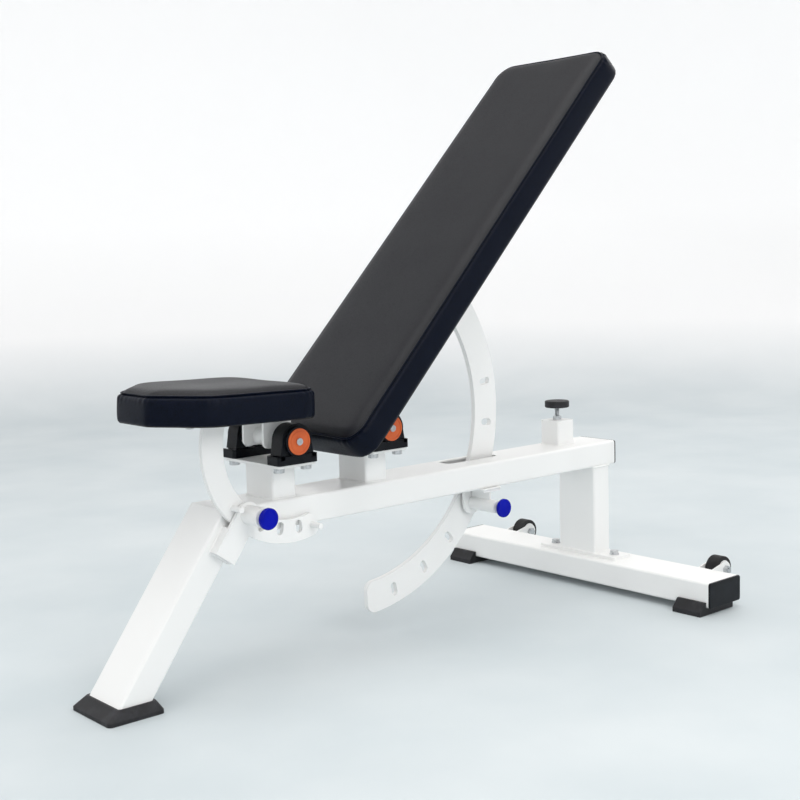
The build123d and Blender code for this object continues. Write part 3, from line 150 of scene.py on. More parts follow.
# %% White powder coat
material, tree = blank("white powder coat")
place = add(tree, "TexCoord").outputs["Object"]
peel = add(tree, "TexNoise", {"Vector": place, "Scale": per_metre(5), "Detail": 1.5})
drift = add(tree, "TexNoise", {"Vector": place, "Scale": per_metre(160), "Detail": 1.0})
soft_edge = add(tree, "Bevel", {"Radius": 0.8 * MM}, samples=4)
ripple = add(tree, "Bump", {"Height": peel.outputs["Fac"], "Strength": 0.10, "Distance": 0.3 * MM,
                            "Normal": soft_edge.outputs["Normal"]})
gloss = add(tree, "MapRange", {"Value": drift.outputs["Fac"], "From Min": 0.1, "From Max": 0.9,
                               "To Min": 0.30, "To Max": 0.36})
shader = add(tree, "BsdfPrincipled", {
    "Base Color": between(tree, drift.outputs["Fac"], 0.1, 0.9, "#EFEFEE", "#F5F5F4"),
    "Roughness": gloss.outputs["Result"], "IOR": 1.5, "Coat Weight": 0.25, "Coat Roughness": 0.15,
    "Normal": ripple.outputs["Normal"]})
close(tree, shader)
finishes["white_powder_coat"] = material
print("finish:", material.name)

# %% [markdown]
# The bearing blocks are sand-cast iron under black paint. Casting leaves a fine pebbled skin,
# which scatters the highlight into a satin glow. The grit is about 1 mm, drawn at 2.5 mm.

# %% Black paint on cast iron
material, tree = blank("black paint on cast iron")
place = add(tree, "TexCoord").outputs["Object"]
grit = add(tree, "TexNoise", {"Vector": place, "Scale": per_metre(2.5), "Detail": 3.0})
soft_edge = add(tree, "Bevel", {"Radius": 1.6 * MM}, samples=4)
skin = add(tree, "Bump", {"Height": grit.outputs["Fac"], "Strength": 0.35, "Distance": 0.4 * MM,
                          "Normal": soft_edge.outputs["Normal"]})
shader = add(tree, "BsdfPrincipled", {
    "Base Color": between(tree, grit.outputs["Fac"], 0.35, 0.7, "#05070C", "#0C1018"),
    "Roughness": 0.34, "IOR": 1.5, "Specular IOR Level": 0.16, "Normal": skin.outputs["Normal"]})
close(tree, shader)
finishes["black_paint"] = material
print("finish:", material.name)

# %% [markdown]
# Upholstery vinyl is PVC on a knitted back, embossed with a leather grain. The raised pebbles
# are shiny and the valleys between them are dull, so the grain drives both the bump and the
# roughness; the valleys are also given a darker colour, which is painted shade. Real pebbles are
# about 1 mm across, drawn here at 3 mm. The top panels have a dry, charcoal face. The side
# bands are the same vinyl made darker and navier, with a weaker reflection: painted shade.

# %% Black vinyl


def vinyl(name, valley_shade, pebble, dull, shiny, shine):
    """Grained vinyl, with painted shade in the valleys between its pebbles."""
    material, tree = blank(name)
    place = add(tree, "TexCoord").outputs["Object"]
    wander = add(tree, "TexNoise", {"Vector": place, "Scale": per_metre(9), "Detail": 2.0})
    shift = add(tree, "VectorMath", {0: wander.outputs["Color"], 1: (2 * MM,) * 3}, operation="MULTIPLY")
    moved = add(tree, "VectorMath", {0: place, 1: shift.outputs["Vector"]}, operation="ADD")
    grain = add(tree, "TexVoronoi", {"Vector": moved.outputs["Vector"], "Scale": per_metre(3)},
                feature="DISTANCE_TO_EDGE")
    rise = add(tree, "MapRange", {"Value": grain.outputs["Distance"], "From Min": 0.0, "From Max": 0.22})
    wear = add(tree, "TexNoise", {"Vector": place, "Scale": per_metre(120), "Detail": 2.0})
    polish = add(tree, "MapRange", {"Value": rise.outputs["Result"], "To Min": dull, "To Max": shiny})
    uneven = add(tree, "MapRange", {"Value": wear.outputs["Fac"], "From Min": 0.3, "From Max": 0.7,
                                    "To Min": -0.03, "To Max": 0.04})
    rough = add(tree, "Math", {0: polish.outputs["Result"], 1: uneven.outputs["Result"]}, operation="ADD")
    bump = add(tree, "Bump", {"Height": rise.outputs["Result"], "Strength": 0.22, "Distance": 0.3 * MM})
    # The base colour runs from the painted shade in the grain's valleys up to the pebbles' colour.
    shader = add(tree, "BsdfPrincipled", {
        "Base Color": between(tree, rise.outputs["Result"], 0.0, 0.8, valley_shade, pebble),
        "Roughness": rough.outputs["Value"], "IOR": 1.52, "Specular IOR Level": shine,
        "Normal": bump.outputs["Normal"]})
    close(tree, shader)
    return material


finishes["black_vinyl"] = vinyl("charcoal vinyl", "#101116", "#1A1B21", 0.50, 0.42, 0.26)
# The side bands' vinyl is a darker, navier copy with a weaker reflection: painted shade.
shaded_side_vinyl = vinyl("navy black vinyl with painted shade", "#01050F", "#050D1F", 0.44, 0.34, 0.09)
print("finishes:", finishes["black_vinyl"].name, "and", shaded_side_vinyl.name)

# %% [markdown]
# Bolts, nuts and pins are zinc plated and then passivated. The plating is bright but not a
# mirror: it has a fine, slightly cloudy grain. Metals take their colour from the base colour
# and keep the default IOR.

# %% Zinc plate and bearing steel


def plated(name, dark, light, rough_low, rough_high, cloud_mm):
    """Metal whose brightness and polish drift a little over its surface."""
    material, tree = blank(name)
    place = add(tree, "TexCoord").outputs["Object"]
    cloud = add(tree, "TexNoise", {"Vector": place, "Scale": per_metre(cloud_mm), "Detail": 4.0})
    soft_edge = add(tree, "Bevel", {"Radius": 0.4 * MM}, samples=4)
    polish = add(tree, "MapRange", {"Value": cloud.outputs["Fac"], "From Min": 0.3, "From Max": 0.7,
                                    "To Min": rough_low, "To Max": rough_high})
    shader = add(tree, "BsdfPrincipled", {
        "Base Color": between(tree, cloud.outputs["Fac"], 0.3, 0.7, dark, light),
        "Roughness": polish.outputs["Result"], "Metallic": 1.0, "Normal": soft_edge.outputs["Normal"]})
    close(tree, shader)
    return material


finishes["zinc_plate"] = plated("bright zinc plate", "#A9ACAF", "#D2D4D6", 0.24, 0.38, 6)
finishes["bearing_steel"] = plated("ground bearing steel", "#B0B1B3", "#C9CACC", 0.14, 0.22, 3)
print("finishes:", finishes["zinc_plate"].name, "and", finishes["bearing_steel"].name)

# %% [markdown]
# The small plastics are injection moulded. A polished mould gives the glossy knobs and wheel
# centres; a spark-eroded mould gives the satin caps, whose texture is about 0.3 mm, drawn at
# 1.5 mm. The gate and the cooling leave a faint drift of tone, which keeps them from looking
# like a flat colour.

# %% Moulded plastics


def moulded(name, shade_a, shade_b, rough, texture_mm, relief, edge_mm, shine=0.4):
    """Injection-moulded plastic with a fine mould texture."""
    material, tree = blank(name)
    place = add(tree, "TexCoord").outputs["Object"]
    spark = add(tree, "TexNoise", {"Vector": place, "Scale": per_metre(texture_mm), "Detail": 2.0})
    flow = add(tree, "TexNoise", {"Vector": place, "Scale": per_metre(30), "Detail": 1.0})
    soft_edge = add(tree, "Bevel", {"Radius": edge_mm * MM}, samples=4)
    bump = add(tree, "Bump", {"Height": spark.outputs["Fac"], "Strength": relief, "Distance": 0.2 * MM,
                              "Normal": soft_edge.outputs["Normal"]})
    polish = add(tree, "MapRange", {"Value": spark.outputs["Fac"], "From Min": 0.3, "From Max": 0.7,
                                    "To Min": rough * 0.9, "To Max": rough * 1.15})
    shader = add(tree, "BsdfPrincipled", {
        "Base Color": between(tree, flow.outputs["Fac"], 0.35, 0.65, shade_a, shade_b),
        "Roughness": polish.outputs["Result"], "IOR": 1.49, "Specular IOR Level": shine,
        "Normal": bump.outputs["Normal"]})
    close(tree, shader)
    return material


finishes["orange_plastic"] = moulded("orange cap plastic", "#C85826", "#D2622D", 0.36, 1.5, 0.12, 0.5)
finishes["blue_plastic"] = moulded(
    "blue knob plastic", "#010A94", "#010FA6", 0.16, 2.0, 0.02, 0.8, shine=0.12)
finishes["black_plastic"] = moulded(
    "black cap plastic", "#0B0E13", "#13161C", 0.42, 1.5, 0.25, 0.7, shine=0.22)
finishes["white_plastic"] = moulded("white wheel plastic", "#E6E7E8", "#EFEFEE", 0.28, 2.0, 0.04, 0.7)
boss_grey = moulded("grey cap centre plastic", "#A9ADB2", "#B9BCC0", 0.34, 1.5, 0.08, 0.4)
print("finishes:", sorted(finishes))

# %% [markdown]
# The feet and tyres are moulded rubber. Rubber is nearly matt, a little brown or grey rather
# than pure black, and its faces pick up a pale dust bloom, which is the lighter noise here.

# %% Rubber


def rubber(name, clean, dusty, rough, relief):
    """Matt moulded rubber with a little dust on it."""
    material, tree = blank(name)
    place = add(tree, "TexCoord").outputs["Object"]
    dust = add(tree, "TexNoise", {"Vector": place, "Scale": per_metre(25), "Detail": 5.0, "Roughness": 0.6})
    pores = add(tree, "TexNoise", {"Vector": place, "Scale": per_metre(1.8), "Detail": 2.0})
    soft_edge = add(tree, "Bevel", {"Radius": 1.0 * MM}, samples=4)
    bump = add(tree, "Bump", {"Height": pores.outputs["Fac"], "Strength": relief, "Distance": 0.25 * MM,
                              "Normal": soft_edge.outputs["Normal"]})
    shader = add(tree, "BsdfPrincipled", {
        "Base Color": between(tree, dust.outputs["Fac"], 0.45, 0.8, clean, dusty),
        "Roughness": rough, "IOR": 1.52, "Specular IOR Level": 0.35, "Normal": bump.outputs["Normal"]})
    close(tree, shader)
    return material


finishes["black_rubber"] = rubber("moulded foot rubber", "#1D1D20", "#35353A", 0.58, 0.3)
finishes["tyre_rubber"] = rubber("solid tyre rubber", "#131315", "#29292C", 0.62, 0.4)
print("finishes:", finishes["black_rubber"].name, "and", finishes["tyre_rubber"].name)

# %% [markdown]
# Each pad is built on a plywood board. Its underside is stained black, and the open grain of
# the outer ply shows through as long dark streaks, a few millimetres wide.

# %% Stained plywood
material, tree = blank("black stained plywood")
place = add(tree, "TexCoord").outputs["Object"]
stretched = add(tree, "Mapping", {"Vector": place, "Scale": (1.0, 0.06, 0.06)})
streak = add(tree, "TexNoise", {"Vector": stretched.outputs["Vector"], "Scale": per_metre(4),
                                "Detail": 4.0, "Distortion": 0.6})
bump = add(tree, "Bump", {"Height": streak.outputs["Fac"], "Strength": 0.3, "Distance": 0.3 * MM})
shader = add(tree, "BsdfPrincipled", {
    "Base Color": between(tree, streak.outputs["Fac"], 0.35, 0.65, "#0E0D0C", "#221D19"),
    "Roughness": 0.62, "IOR": 1.5, "Normal": bump.outputs["Normal"]})
close(tree, shader)
finishes["plywood"] = material
print("finish:", material.name)

# %% [markdown]
# The record says which finish each solid has, so one loop dresses them all.

# %% Give every solid its finish
for row in record["subparts"]:
    solid = nodes[row["node"]]
    solid.data.materials.clear()
    solid.data.materials.append(finishes[row["material_slot"]])
print("finished solids:", len(record["subparts"]))

# %% [markdown]
# New pieces are made from points and faces. Each one gets a name, the body that it moves
# with, and its finish.

# %% Piece helpers


def piece(name, points, faces, body, slot, material=None):
    """Make one mesh piece that rides on a body."""
    mesh = bpy.data.meshes.new(name)
    mesh.from_pydata([tuple(p) for p in points], [], faces)
    mesh.update()
    mesh.polygons.foreach_set("use_smooth", [True] * len(mesh.polygons))
    mesh.materials.append(material or finishes[slot])
    made = bpy.data.objects.new(name, mesh)
    scene.collection.objects.link(made)
    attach(made, body)
    return made


def even_steps(path, step, closed):
    """The same path with points a fixed distance apart."""
    corners = [Vector(p) for p in path]
    if closed:
        corners.append(corners[0])
    lengths = [0.0]
    for a, b in zip(corners, corners[1:]):
        lengths.append(lengths[-1] + (b - a).length)
    count = max(3, ceil(lengths[-1] / step))
    spots = np.linspace(0, lengths[-1], count + 1)
    if closed:
        spots = spots[:-1]
    columns = [np.interp(spots, lengths, [c[i] for c in corners]) for i in range(3)]
    return [Vector(p) for p in zip(*columns)], spots


def tube(path, radius_at, closed, sides=8):
    """Points and faces of a round tube along a path, its radius given step by step."""
    points, faces = [], []
    count = len(path)
    side = None
    for k, at in enumerate(path):
        if closed:
            ahead = path[(k + 1) % count] - path[k - 1]
        else:
            ahead = path[min(k + 1, count - 1)] - path[max(k - 1, 0)]
        ahead = ahead.normalized()
        if side is None:
            side = ahead.orthogonal().normalized()
        side = (side - ahead * side.dot(ahead)).normalized()
        up = ahead.cross(side)
        for j in range(sides):
            turn = tau * j / sides
            points.append(at + (side * cos(turn) + up * sin(turn)) * radius_at(k))
    rings = count if closed else count - 1
    for k in range(rings):
        here, there = k * sides, (k + 1) % count * sides
        shift = 0
        if closed and k == count - 1:
            shift = min(range(sides), key=lambda s: (points[here] - points[s]).length)
        for j in range(sides):
            a, b = here + j, here + (j + 1) % sides
            c, d = there + (j + 1 + shift) % sides, there + (j + shift) % sides
            faces.append((a, b, c, d))
    if not closed:
        faces.append(tuple(range(sides))[::-1])
        faces.append(tuple((count - 1) * sides + j for j in range(sides)))
    return points, faces


print("piece helpers ready")

# %% [markdown]
# Welds hold the steel together. A hand-laid MIG bead is a string of overlapping puddles, about
# 5 mm wide with a ripple every 3 mm, and the powder coat goes over it. The bead follows the
# outline where one part stands on another. That outline is read from the solid itself: the
# vertices that lie furthest in one direction, joined by their convex hull.

# %% Weld helpers
BEAD_R = 2.3 * MM
RIPPLE = 3.2 * MM
RIPPLE_HEIGHT = 0.13  # share of the bead's radius
BEAD_STEP = 0.8 * MM
END_DEPTH = 0.2 * MM  # how far behind the end a vertex still counts as on it


def rows_of(mesh):
    """Vertex positions of a mesh as rows."""
    flat = np.empty(len(mesh.vertices) * 3)
    mesh.vertices.foreach_get("co", flat)
    return flat.reshape(-1, 3)


def end_outline(node, way, keep=None):
    """Outline of the flat end of a solid that faces the given way."""
    way = Vector(way).normalized()
    spots = rows_of(nodes[node].data)
    if keep is not None:
        spots = spots[keep(spots)]
    reach = spots @ np.array(way)
    spots = spots[reach > reach.max() - END_DEPTH]
    across = way.orthogonal().normalized()
    up = way.cross(across)
    flat = sorted({(round(float(Vector(s).dot(across)), 6), round(float(Vector(s).dot(up)), 6))
                   for s in spots})
    hull = []
    for line in (flat, flat[::-1]):
        chain = []
        for p in line:
            while len(chain) > 1:
                (ax, ay), (bx, by) = chain[-2], chain[-1]
                if (bx - ax) * (p[1] - ay) - (by - ay) * (p[0] - ax) > 0:
                    break
                chain.pop()
            chain.append(p)
        hull += chain[:-1]
    height = float(reach.max())
    return [across * x + up * y + way * height for x, y in hull]


def weld(name, path, body, closed=True):
    """A rippled bead along a path."""
    steps, run = even_steps(path, BEAD_STEP, closed)
    points, faces = tube(steps, lambda k: BEAD_R * (1 + RIPPLE_HEIGHT * sin(tau * run[k] / RIPPLE)), closed)
    return piece(name, points, faces, body, "white_powder_coat")


print("bead width in mm:", 2 * BEAD_R / MM)

# %% [markdown]
# On the frame, beads run round both ends of the risers and the post, and round the foot of
# the stop's block, the two pull pin carriers and the wheel forks.

# %% Frame welds
UP, DOWN = Vector((0, 0, 1)), Vector((0, 0, -1))
for node in ("seat_riser", "back_riser", "rear_post"):
    for word, way in (("top", UP), ("foot", DOWN)):
        weld(f"weld_{node}_{word}", end_outline(node, way), "frame")
weld("weld_stop_block", end_outline("stop_block", DOWN), "frame")
weld("weld_seat_pin_bracket", end_outline("seat_pin_bracket", (-1, 0, 0)), "frame")
weld("weld_back_pin_hanger", end_outline("back_pin_hanger", UP), "frame")
for word, sign in (("right", 1), ("left", -1)):
    outline = end_outline("wheel_forks", (0, -1, 0), lambda rows, s=sign: rows[:, 0] * s > 0)
    weld(f"weld_wheel_fork_{word}", outline, "frame")

# %% [markdown]
# The pads tilt with their bodies, so they are worked on in their own upright frame: origin on
# the shaft, Y along the pad and Z out of it. The tilt is read from the board's largest face.

# %% Pad frames


def pad_frame(body, board):
    """Matrix from a pad's own frame to the bench."""
    joint = next(j for j in record["behaviour"]["joints"] if j["child"] == body)
    totals = {}
    for face in nodes[board].data.polygons:
        key = tuple(round(c, 3) for c in face.normal)
        totals[key] = totals.get(key, 0) + face.area
    normal = Vector(max(totals, key=totals.get))
    if normal.z < 0:
        normal = -normal
    tilt = atan2(-normal.y, normal.z)
    return Matrix.Translation(Vector(joint["pos_m"])) @ Matrix.Rotation(tilt, 4, "X"), tilt


seat_frame, seat_tilt = pad_frame("seat", "seat_board")
back_frame, back_tilt = pad_frame("backrest", "back_board")
print("tilt in degrees: seat", round(degrees(seat_tilt), 2), "backrest", round(degrees(back_tilt), 2))

# %% [markdown]
# Each locking plate is welded to its carrier along its upper end, so its bead tilts with it.

# %% Welds on the moving parts
weld("weld_seat_lock_plate", end_outline("seat_lock_arc", seat_frame.to_3x3() @ UP), "seat")
weld("weld_back_lock_plate", end_outline("back_lock_arc", back_frame.to_3x3() @ UP), "backrest")

# %% [markdown]
# A bench pad is a block of firm foam on a plywood board. The cover has two parts: a top panel
# cut to the outline, and a band about 48 mm tall sewn round it. It is pulled down over the
# foam and stapled under the board, so the band bulges a little, the top stays nearly flat, and
# its rim rolls over just before the seam.
#
# That shape comes from tension and pressure, so it is simulated. The plain solid of the pad is
# remeshed to an even grid, made a millimetre smaller, and blown up as cloth with its underside
# held still. How far a point may move is limited smoothly, and the movement is evened out over
# the surface, so the crown is smooth and the pad ends at its real size.

# %% Pad sizes
GRID = 5 * MM
SHRINK = 1.0 * MM
GROWTH = 4.0 * MM
PRESSURE = 4.0
LAST_FRAME = 20
EVENING = 40
RELAX = 0.5
BAND = 48 * MM
HEEL = 1 * MM
print("cloth grid in mm:", GRID / MM)

# %% [markdown]
# The pad and its board are joined into one block and meshed evenly, which is what cloth needs.

# %% Cut the pad from its solids


def put_rows(mesh, rows):
    """Write vertex positions back into a mesh."""
    mesh.vertices.foreach_set("co", np.ascontiguousarray(rows).ravel())
    mesh.update()


def evaluated(obj):
    """A new mesh with the object's modifiers worked in."""
    graph = bpy.context.evaluated_depsgraph_get()
    graph.update()
    return bpy.data.meshes.new_from_object(obj.evaluated_get(graph))


def settle(obj):
    """Replace the object's mesh by its modified one and drop the modifiers."""
    mesh = evaluated(obj)
    obj.modifiers.clear()
    obj.data = mesh


def rough_pad(name, pad, board, to_bench):
    """Closed, evenly meshed block with the outer shape of pad and board together."""
    block = bpy.data.meshes.new(name)
    shape = bmesh.new()
    shape.from_mesh(nodes[pad].data)
    shape.from_mesh(nodes[board].data)
    shape.transform(to_bench.inverted())
    shape.to_mesh(block)
    shape.free()
    made = bpy.data.objects.new(name, block)
    scene.collection.objects.link(made)
    remesh = made.modifiers.new("grid", "REMESH")
    remesh.mode = "VOXEL"
    remesh.voxel_size = GRID
    settle(made)
    relax = made.modifiers.new("relax", "SMOOTH")
    relax.factor = RELAX
    relax.iterations = 3
    settle(made)
    return made


def normals_of(mesh):
    """Vertex normals as rows."""
    flat = np.empty(len(mesh.vertices) * 3)
    mesh.vertex_normals.foreach_get("vector", flat)
    return flat.reshape(-1, 3)


def make_smaller(obj, low):
    """Pull every point in and lift the underside. Returns the points that the cloth holds."""
    rows = rows_of(obj.data) - normals_of(obj.data) * SHRINK
    under = normals_of(obj.data)[:, 2] < -0.5
    rows[under, 2] = low + HEEL
    put_rows(obj.data, rows)
    return np.nonzero(rows[:, 2] < low + 2.5 * HEEL)[0]


print("pad helpers ready")

# %% [markdown]
# The block is then blown up. Points may move out or along the surface but not inwards, because
# foam doesn't let its cover sink in. A coarse grid still shows, so it is relaxed and divided.

# %% Blow the pad up


def evened(mesh, values):
    """Vertex vectors averaged with their neighbours', EVENING times over."""
    edges = np.empty(len(mesh.edges) * 2, dtype=np.int32)
    mesh.edges.foreach_get("vertices", edges)
    ends = np.concatenate((edges, edges.reshape(-1, 2)[:, ::-1].ravel()))
    here, there = ends[0::2], ends[1::2]
    count = np.maximum(np.bincount(here, minlength=len(values)), 1)
    for _ in range(EVENING):
        sums = [np.bincount(here, weights=values[there, i], minlength=len(values)) for i in range(3)]
        values = 0.5 * values + 0.5 * np.stack(sums, axis=1) / count[:, None]
    return values


def inflate(obj, held):
    """Cloth under pressure, with its movement limited."""
    pin = obj.vertex_groups.new(name="pin")
    pin.add([int(i) for i in held], 1.0, "REPLACE")
    start = rows_of(obj.data)
    outward = normals_of(obj.data)
    cloth = obj.modifiers.new("foam", "CLOTH")
    cloth.settings.quality = 5
    cloth.settings.mass = 0.3
    cloth.settings.tension_stiffness = 12
    cloth.settings.compression_stiffness = 12
    cloth.settings.bending_stiffness = 1.5
    cloth.settings.use_pressure = True
    cloth.settings.uniform_pressure_force = PRESSURE
    cloth.settings.vertex_group_mass = "pin"
    cloth.settings.effector_weights.gravity = 0
    for step in range(1, LAST_FRAME + 1):
        scene.frame_set(step)
    swollen = rows_of(evaluated(obj))
    obj.modifiers.clear()
    obj.vertex_groups.clear()
    move = swollen - start
    inwards = np.minimum((move * outward).sum(axis=1), 0.0)
    move = evened(obj.data, move - outward * inwards[:, None])
    far = np.linalg.norm(move, axis=1)
    limited = GROWTH * np.tanh(far / GROWTH)
    put_rows(obj.data, start + move * (limited / np.maximum(far, 1e-9))[:, None])
    scene.frame_set(1)
    print(obj.name, "moved by up to", round(float(far.max()) / MM, 1), "mm, kept to",
          round(float(limited.max()) / MM, 1))


def finer(obj):
    """Relax the surface and divide it once."""
    relax = obj.modifiers.new("relax", "SMOOTH")
    relax.factor = RELAX
    relax.iterations = 4
    divide = obj.modifiers.new("divide", "SUBSURF")
    divide.levels = 1
    divide.render_levels = 1
    settle(obj)


print("largest growth in mm:", GROWTH / MM)

# %% [markdown]
# The seam runs round the pad where the top panel meets the band. Sewing pulls it in, so there
# is a shallow groove with a corded welt lying in it, 3 mm thick. Under the welt the band
# gathers into small puckers where it has to turn a corner, because a flat strip is being
# eased round a curve. The puckers are about 11 mm apart, and their spacing wanders a little.

# %% Seam line
SEAM_STEP = 2 * MM
GROOVE_DEPTH, GROOVE_WIDTH = 1.6 * MM, 3.2 * MM
PUCKER_HEIGHT, PUCKER_GAP, PUCKER_WANDER = 0.75 * MM, 11 * MM, 47 * MM
PUCKER_DROP, PUCKER_WIDTH = 5 * MM, 7 * MM
STRAIGHT_SHARE = 0.12  # how much of the puckering is left where the seam runs straight
SEWN_HEIGHT, SEWN_REACH = 22 * MM, 12 * MM
SHARP_TURN = radians(18)


def seam_line(obj, height):
    """The pad's outline at the seam's height, in order."""
    shape = bmesh.new()
    shape.from_mesh(obj.data)
    parts = shape.verts[:] + shape.edges[:] + shape.faces[:]
    cut = bmesh.ops.bisect_plane(shape, geom=parts, plane_co=(0, 0, height), plane_no=(0, 0, 1))
    edges = {e for e in cut["geom_cut"] if isinstance(e, bmesh.types.BMEdge)}
    here = next(iter(sorted(edges, key=lambda e: e.index))).verts[0]
    line = []
    while edges:
        edge = next((e for e in here.link_edges if e in edges), None)
        if edge is None:
            break
        edges.discard(edge)
        line.append(here.co.copy())
        here = edge.other_vert(here)
    shape.free()
    return even_steps(line, SEAM_STEP, True)


def turning(line, reach=6):
    """How sharply the line turns at each step, from 0 to 1."""
    count = len(line)
    turns = []
    for k in range(count):
        before = (line[k] - line[k - reach]).normalized()
        after = (line[(k + reach) % count] - line[k]).normalized()
        turns.append(min(1.0, before.angle(after, 0.0) / SHARP_TURN))
    span = 8
    window = 2 * span + 1
    return np.convolve(turns[-span:] + turns + turns[:span], np.ones(window) / window, "valid")


def sew(obj, line, run, height):
    """Pull the seam in and gather the band below it at the corners."""
    tree = KDTree(len(line))
    for k, at in enumerate(line):
        tree.insert(at, k)
    tree.balance()
    turn = turning(line)
    rows = rows_of(obj.data)
    outward = normals_of(obj.data)
    for k, row in enumerate(rows):
        below = height - row[2]
        if abs(below) > SEWN_HEIGHT:
            continue
        _, near, gap = tree.find(Vector((row[0], row[1], height)))
        if gap > SEWN_REACH:
            continue
        groove = -GROOVE_DEPTH * exp(-(below / GROOVE_WIDTH) ** 2)
        fold = 0.0
        if below > 0:
            depth = exp(-((below - PUCKER_DROP) / PUCKER_WIDTH) ** 2)
            wave = sin(tau * run[near] / PUCKER_GAP + 1.3 * sin(tau * run[near] / PUCKER_WANDER))
            gather = STRAIGHT_SHARE + (1 - STRAIGHT_SHARE) * turn[near]
            fold = PUCKER_HEIGHT * depth * wave * gather
        rows[k] = row + outward[k] * (groove + fold)
    put_rows(obj.data, rows)


print("seam stands", BAND / MM, "mm above the board's underside")

# %% [markdown]
# Now the two pads are made, seat first. After the sewing each pad's faces are split at the seam
# between the top vinyl and the darker side copy, whose darkness is painted shade, and the
# finished mesh is placed on the bench.

# %% Make both pads


def make_pad(word, body, to_bench):
    """Inflate, sew and colour one pad. Returns its seam and its lowest height."""
    pad = rough_pad(f"{word}_cushion", f"{word}_pad", f"{word}_board", to_bench)
    solid = rows_of(nodes[f"{word}_board"].data) @ np.array(to_bench.to_3x3())
    origin = np.array(to_bench.to_3x3().transposed() @ to_bench.translation)
    low = float((solid - origin)[:, 2].min())
    held = make_smaller(pad, low)
    inflate(pad, held)
    finer(pad)
    height = low + BAND
    line, run = seam_line(pad, height)
    sew(pad, line, run, height)
    mesh = pad.data
    mesh.materials.clear()
    mesh.materials.append(finishes["black_vinyl"])
    mesh.materials.append(shaded_side_vinyl)
    # Faces below the seam take the side vinyl, whose darkness is painted shade.
    for face in mesh.polygons:
        face.use_smooth = True
        face.material_index = 0 if face.center.z > height else 1
    mesh.transform(to_bench)
    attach(pad, body)
    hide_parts(f"{word}_pad")
    back = to_bench.inverted()
    spans = [rows_of(m) @ np.array(back.to_3x3()).T for m in (nodes[f"{word}_pad"].data, mesh)]
    for span in spans:
        print("  extent in mm", np.round((span.max(0) - span.min(0)) / MM, 1))
    print(pad.name, "points", len(mesh.vertices), "seam in mm", round(run[-1] / MM))
    return line, low


seat_seam, seat_low = make_pad("seat", "seat", seat_frame)
back_seam, back_low = make_pad("back", "backrest", back_frame)

# %% [markdown]
# The welt is a 3 mm cord wrapped in vinyl and caught in the seam. It is a tube along the seam
# line, set in by half a millimetre so that it sits in the groove. Tiny swellings every stitch,
# 4 mm apart, show where the thread pulls on it.

# %% Welts
WELT_R = 1.6 * MM
WELT_INSET = 0.5 * MM
WELT_STEP = 1.3 * MM
STITCH = 4 * MM
STITCH_SWELL = 0.06  # share of the welt's radius


def welt(name, line, body, to_bench):
    """The piping along a pad's seam."""
    steps, run = even_steps(line, WELT_STEP, True)
    middle = sum(steps, Vector()) / len(steps)
    inset = [p - (p - middle).normalized() * WELT_INSET for p in steps]
    points, faces = tube(inset, lambda k: WELT_R * (1 + STITCH_SWELL * sin(tau * run[k] / STITCH)), True)
    # The welt takes the side vinyl with its painted shade.
    return piece(name, [to_bench @ p for p in points], faces, body, "black_vinyl", shaded_side_vinyl)


welt("seat_welt", seat_seam, "seat", seat_frame)
welt("back_welt", back_seam, "backrest", back_frame)
print("welt is", 2 * WELT_R / MM, "mm thick")

# %% [markdown]
# Under each board the cover is folded in by about 20 mm and stapled. The fold is a thin strip
# with a slightly wavy inner edge, and the staples are bent wire, 10 mm wide, every 30 mm.

# %% Hems and staples
HEM = 20 * MM
HEM_RIM = 0.8 * MM
HEM_STEP = 4 * MM
CLOTH_T = 0.9 * MM
STAPLE_GAP = 30 * MM
STAPLE_IN = 13 * MM
STAPLE_HALF = 5 * MM
STAPLE_LEG = 1.2 * MM
WIRE_R = 0.5 * MM


def inward(line):
    """Unit direction towards the pad's inside at each step of its outline."""
    ways = []
    count = len(line)
    turn = sum((line[k - 1].x * line[k].y - line[k].x * line[k - 1].y) for k in range(count))
    sign = 1 if turn > 0 else -1
    for k in range(count):
        ahead = line[(k + 3) % count] - line[k - 3]
        ways.append(Vector((-ahead.y, ahead.x, 0)).normalized() * sign)
    return ways


def hem(name, line, low, body, to_bench):
    """The folded edge of the cover under the board."""
    steps, run = even_steps([Vector((p.x, p.y, low)) for p in line], HEM_STEP, True)
    ways = inward(steps)
    points, faces = [], []
    for k, at in enumerate(steps):
        ragged = HEM + 1.2 * MM * sin(run[k] / (9 * MM)) + 0.8 * MM * sin(run[k] / (23 * MM))
        rim = at + ways[k] * HEM_RIM
        edge = at + ways[k] * ragged
        drop = Vector((0, 0, -CLOTH_T))
        points += [rim + Vector((0, 0, HEEL)), rim + drop * 0.6,
                   edge + drop, edge + Vector((0, 0, 0.3 * MM))]
    count = len(steps)
    for k in range(count):
        a, b = k * 4, (k + 1) % count * 4
        for j in range(4):
            faces.append((a + j, a + (j + 1) % 4, b + (j + 1) % 4, b + j))
    # The hem takes the side vinyl with its painted shade.
    return piece(name, [to_bench @ p for p in points], faces, body, "black_vinyl", shaded_side_vinyl)


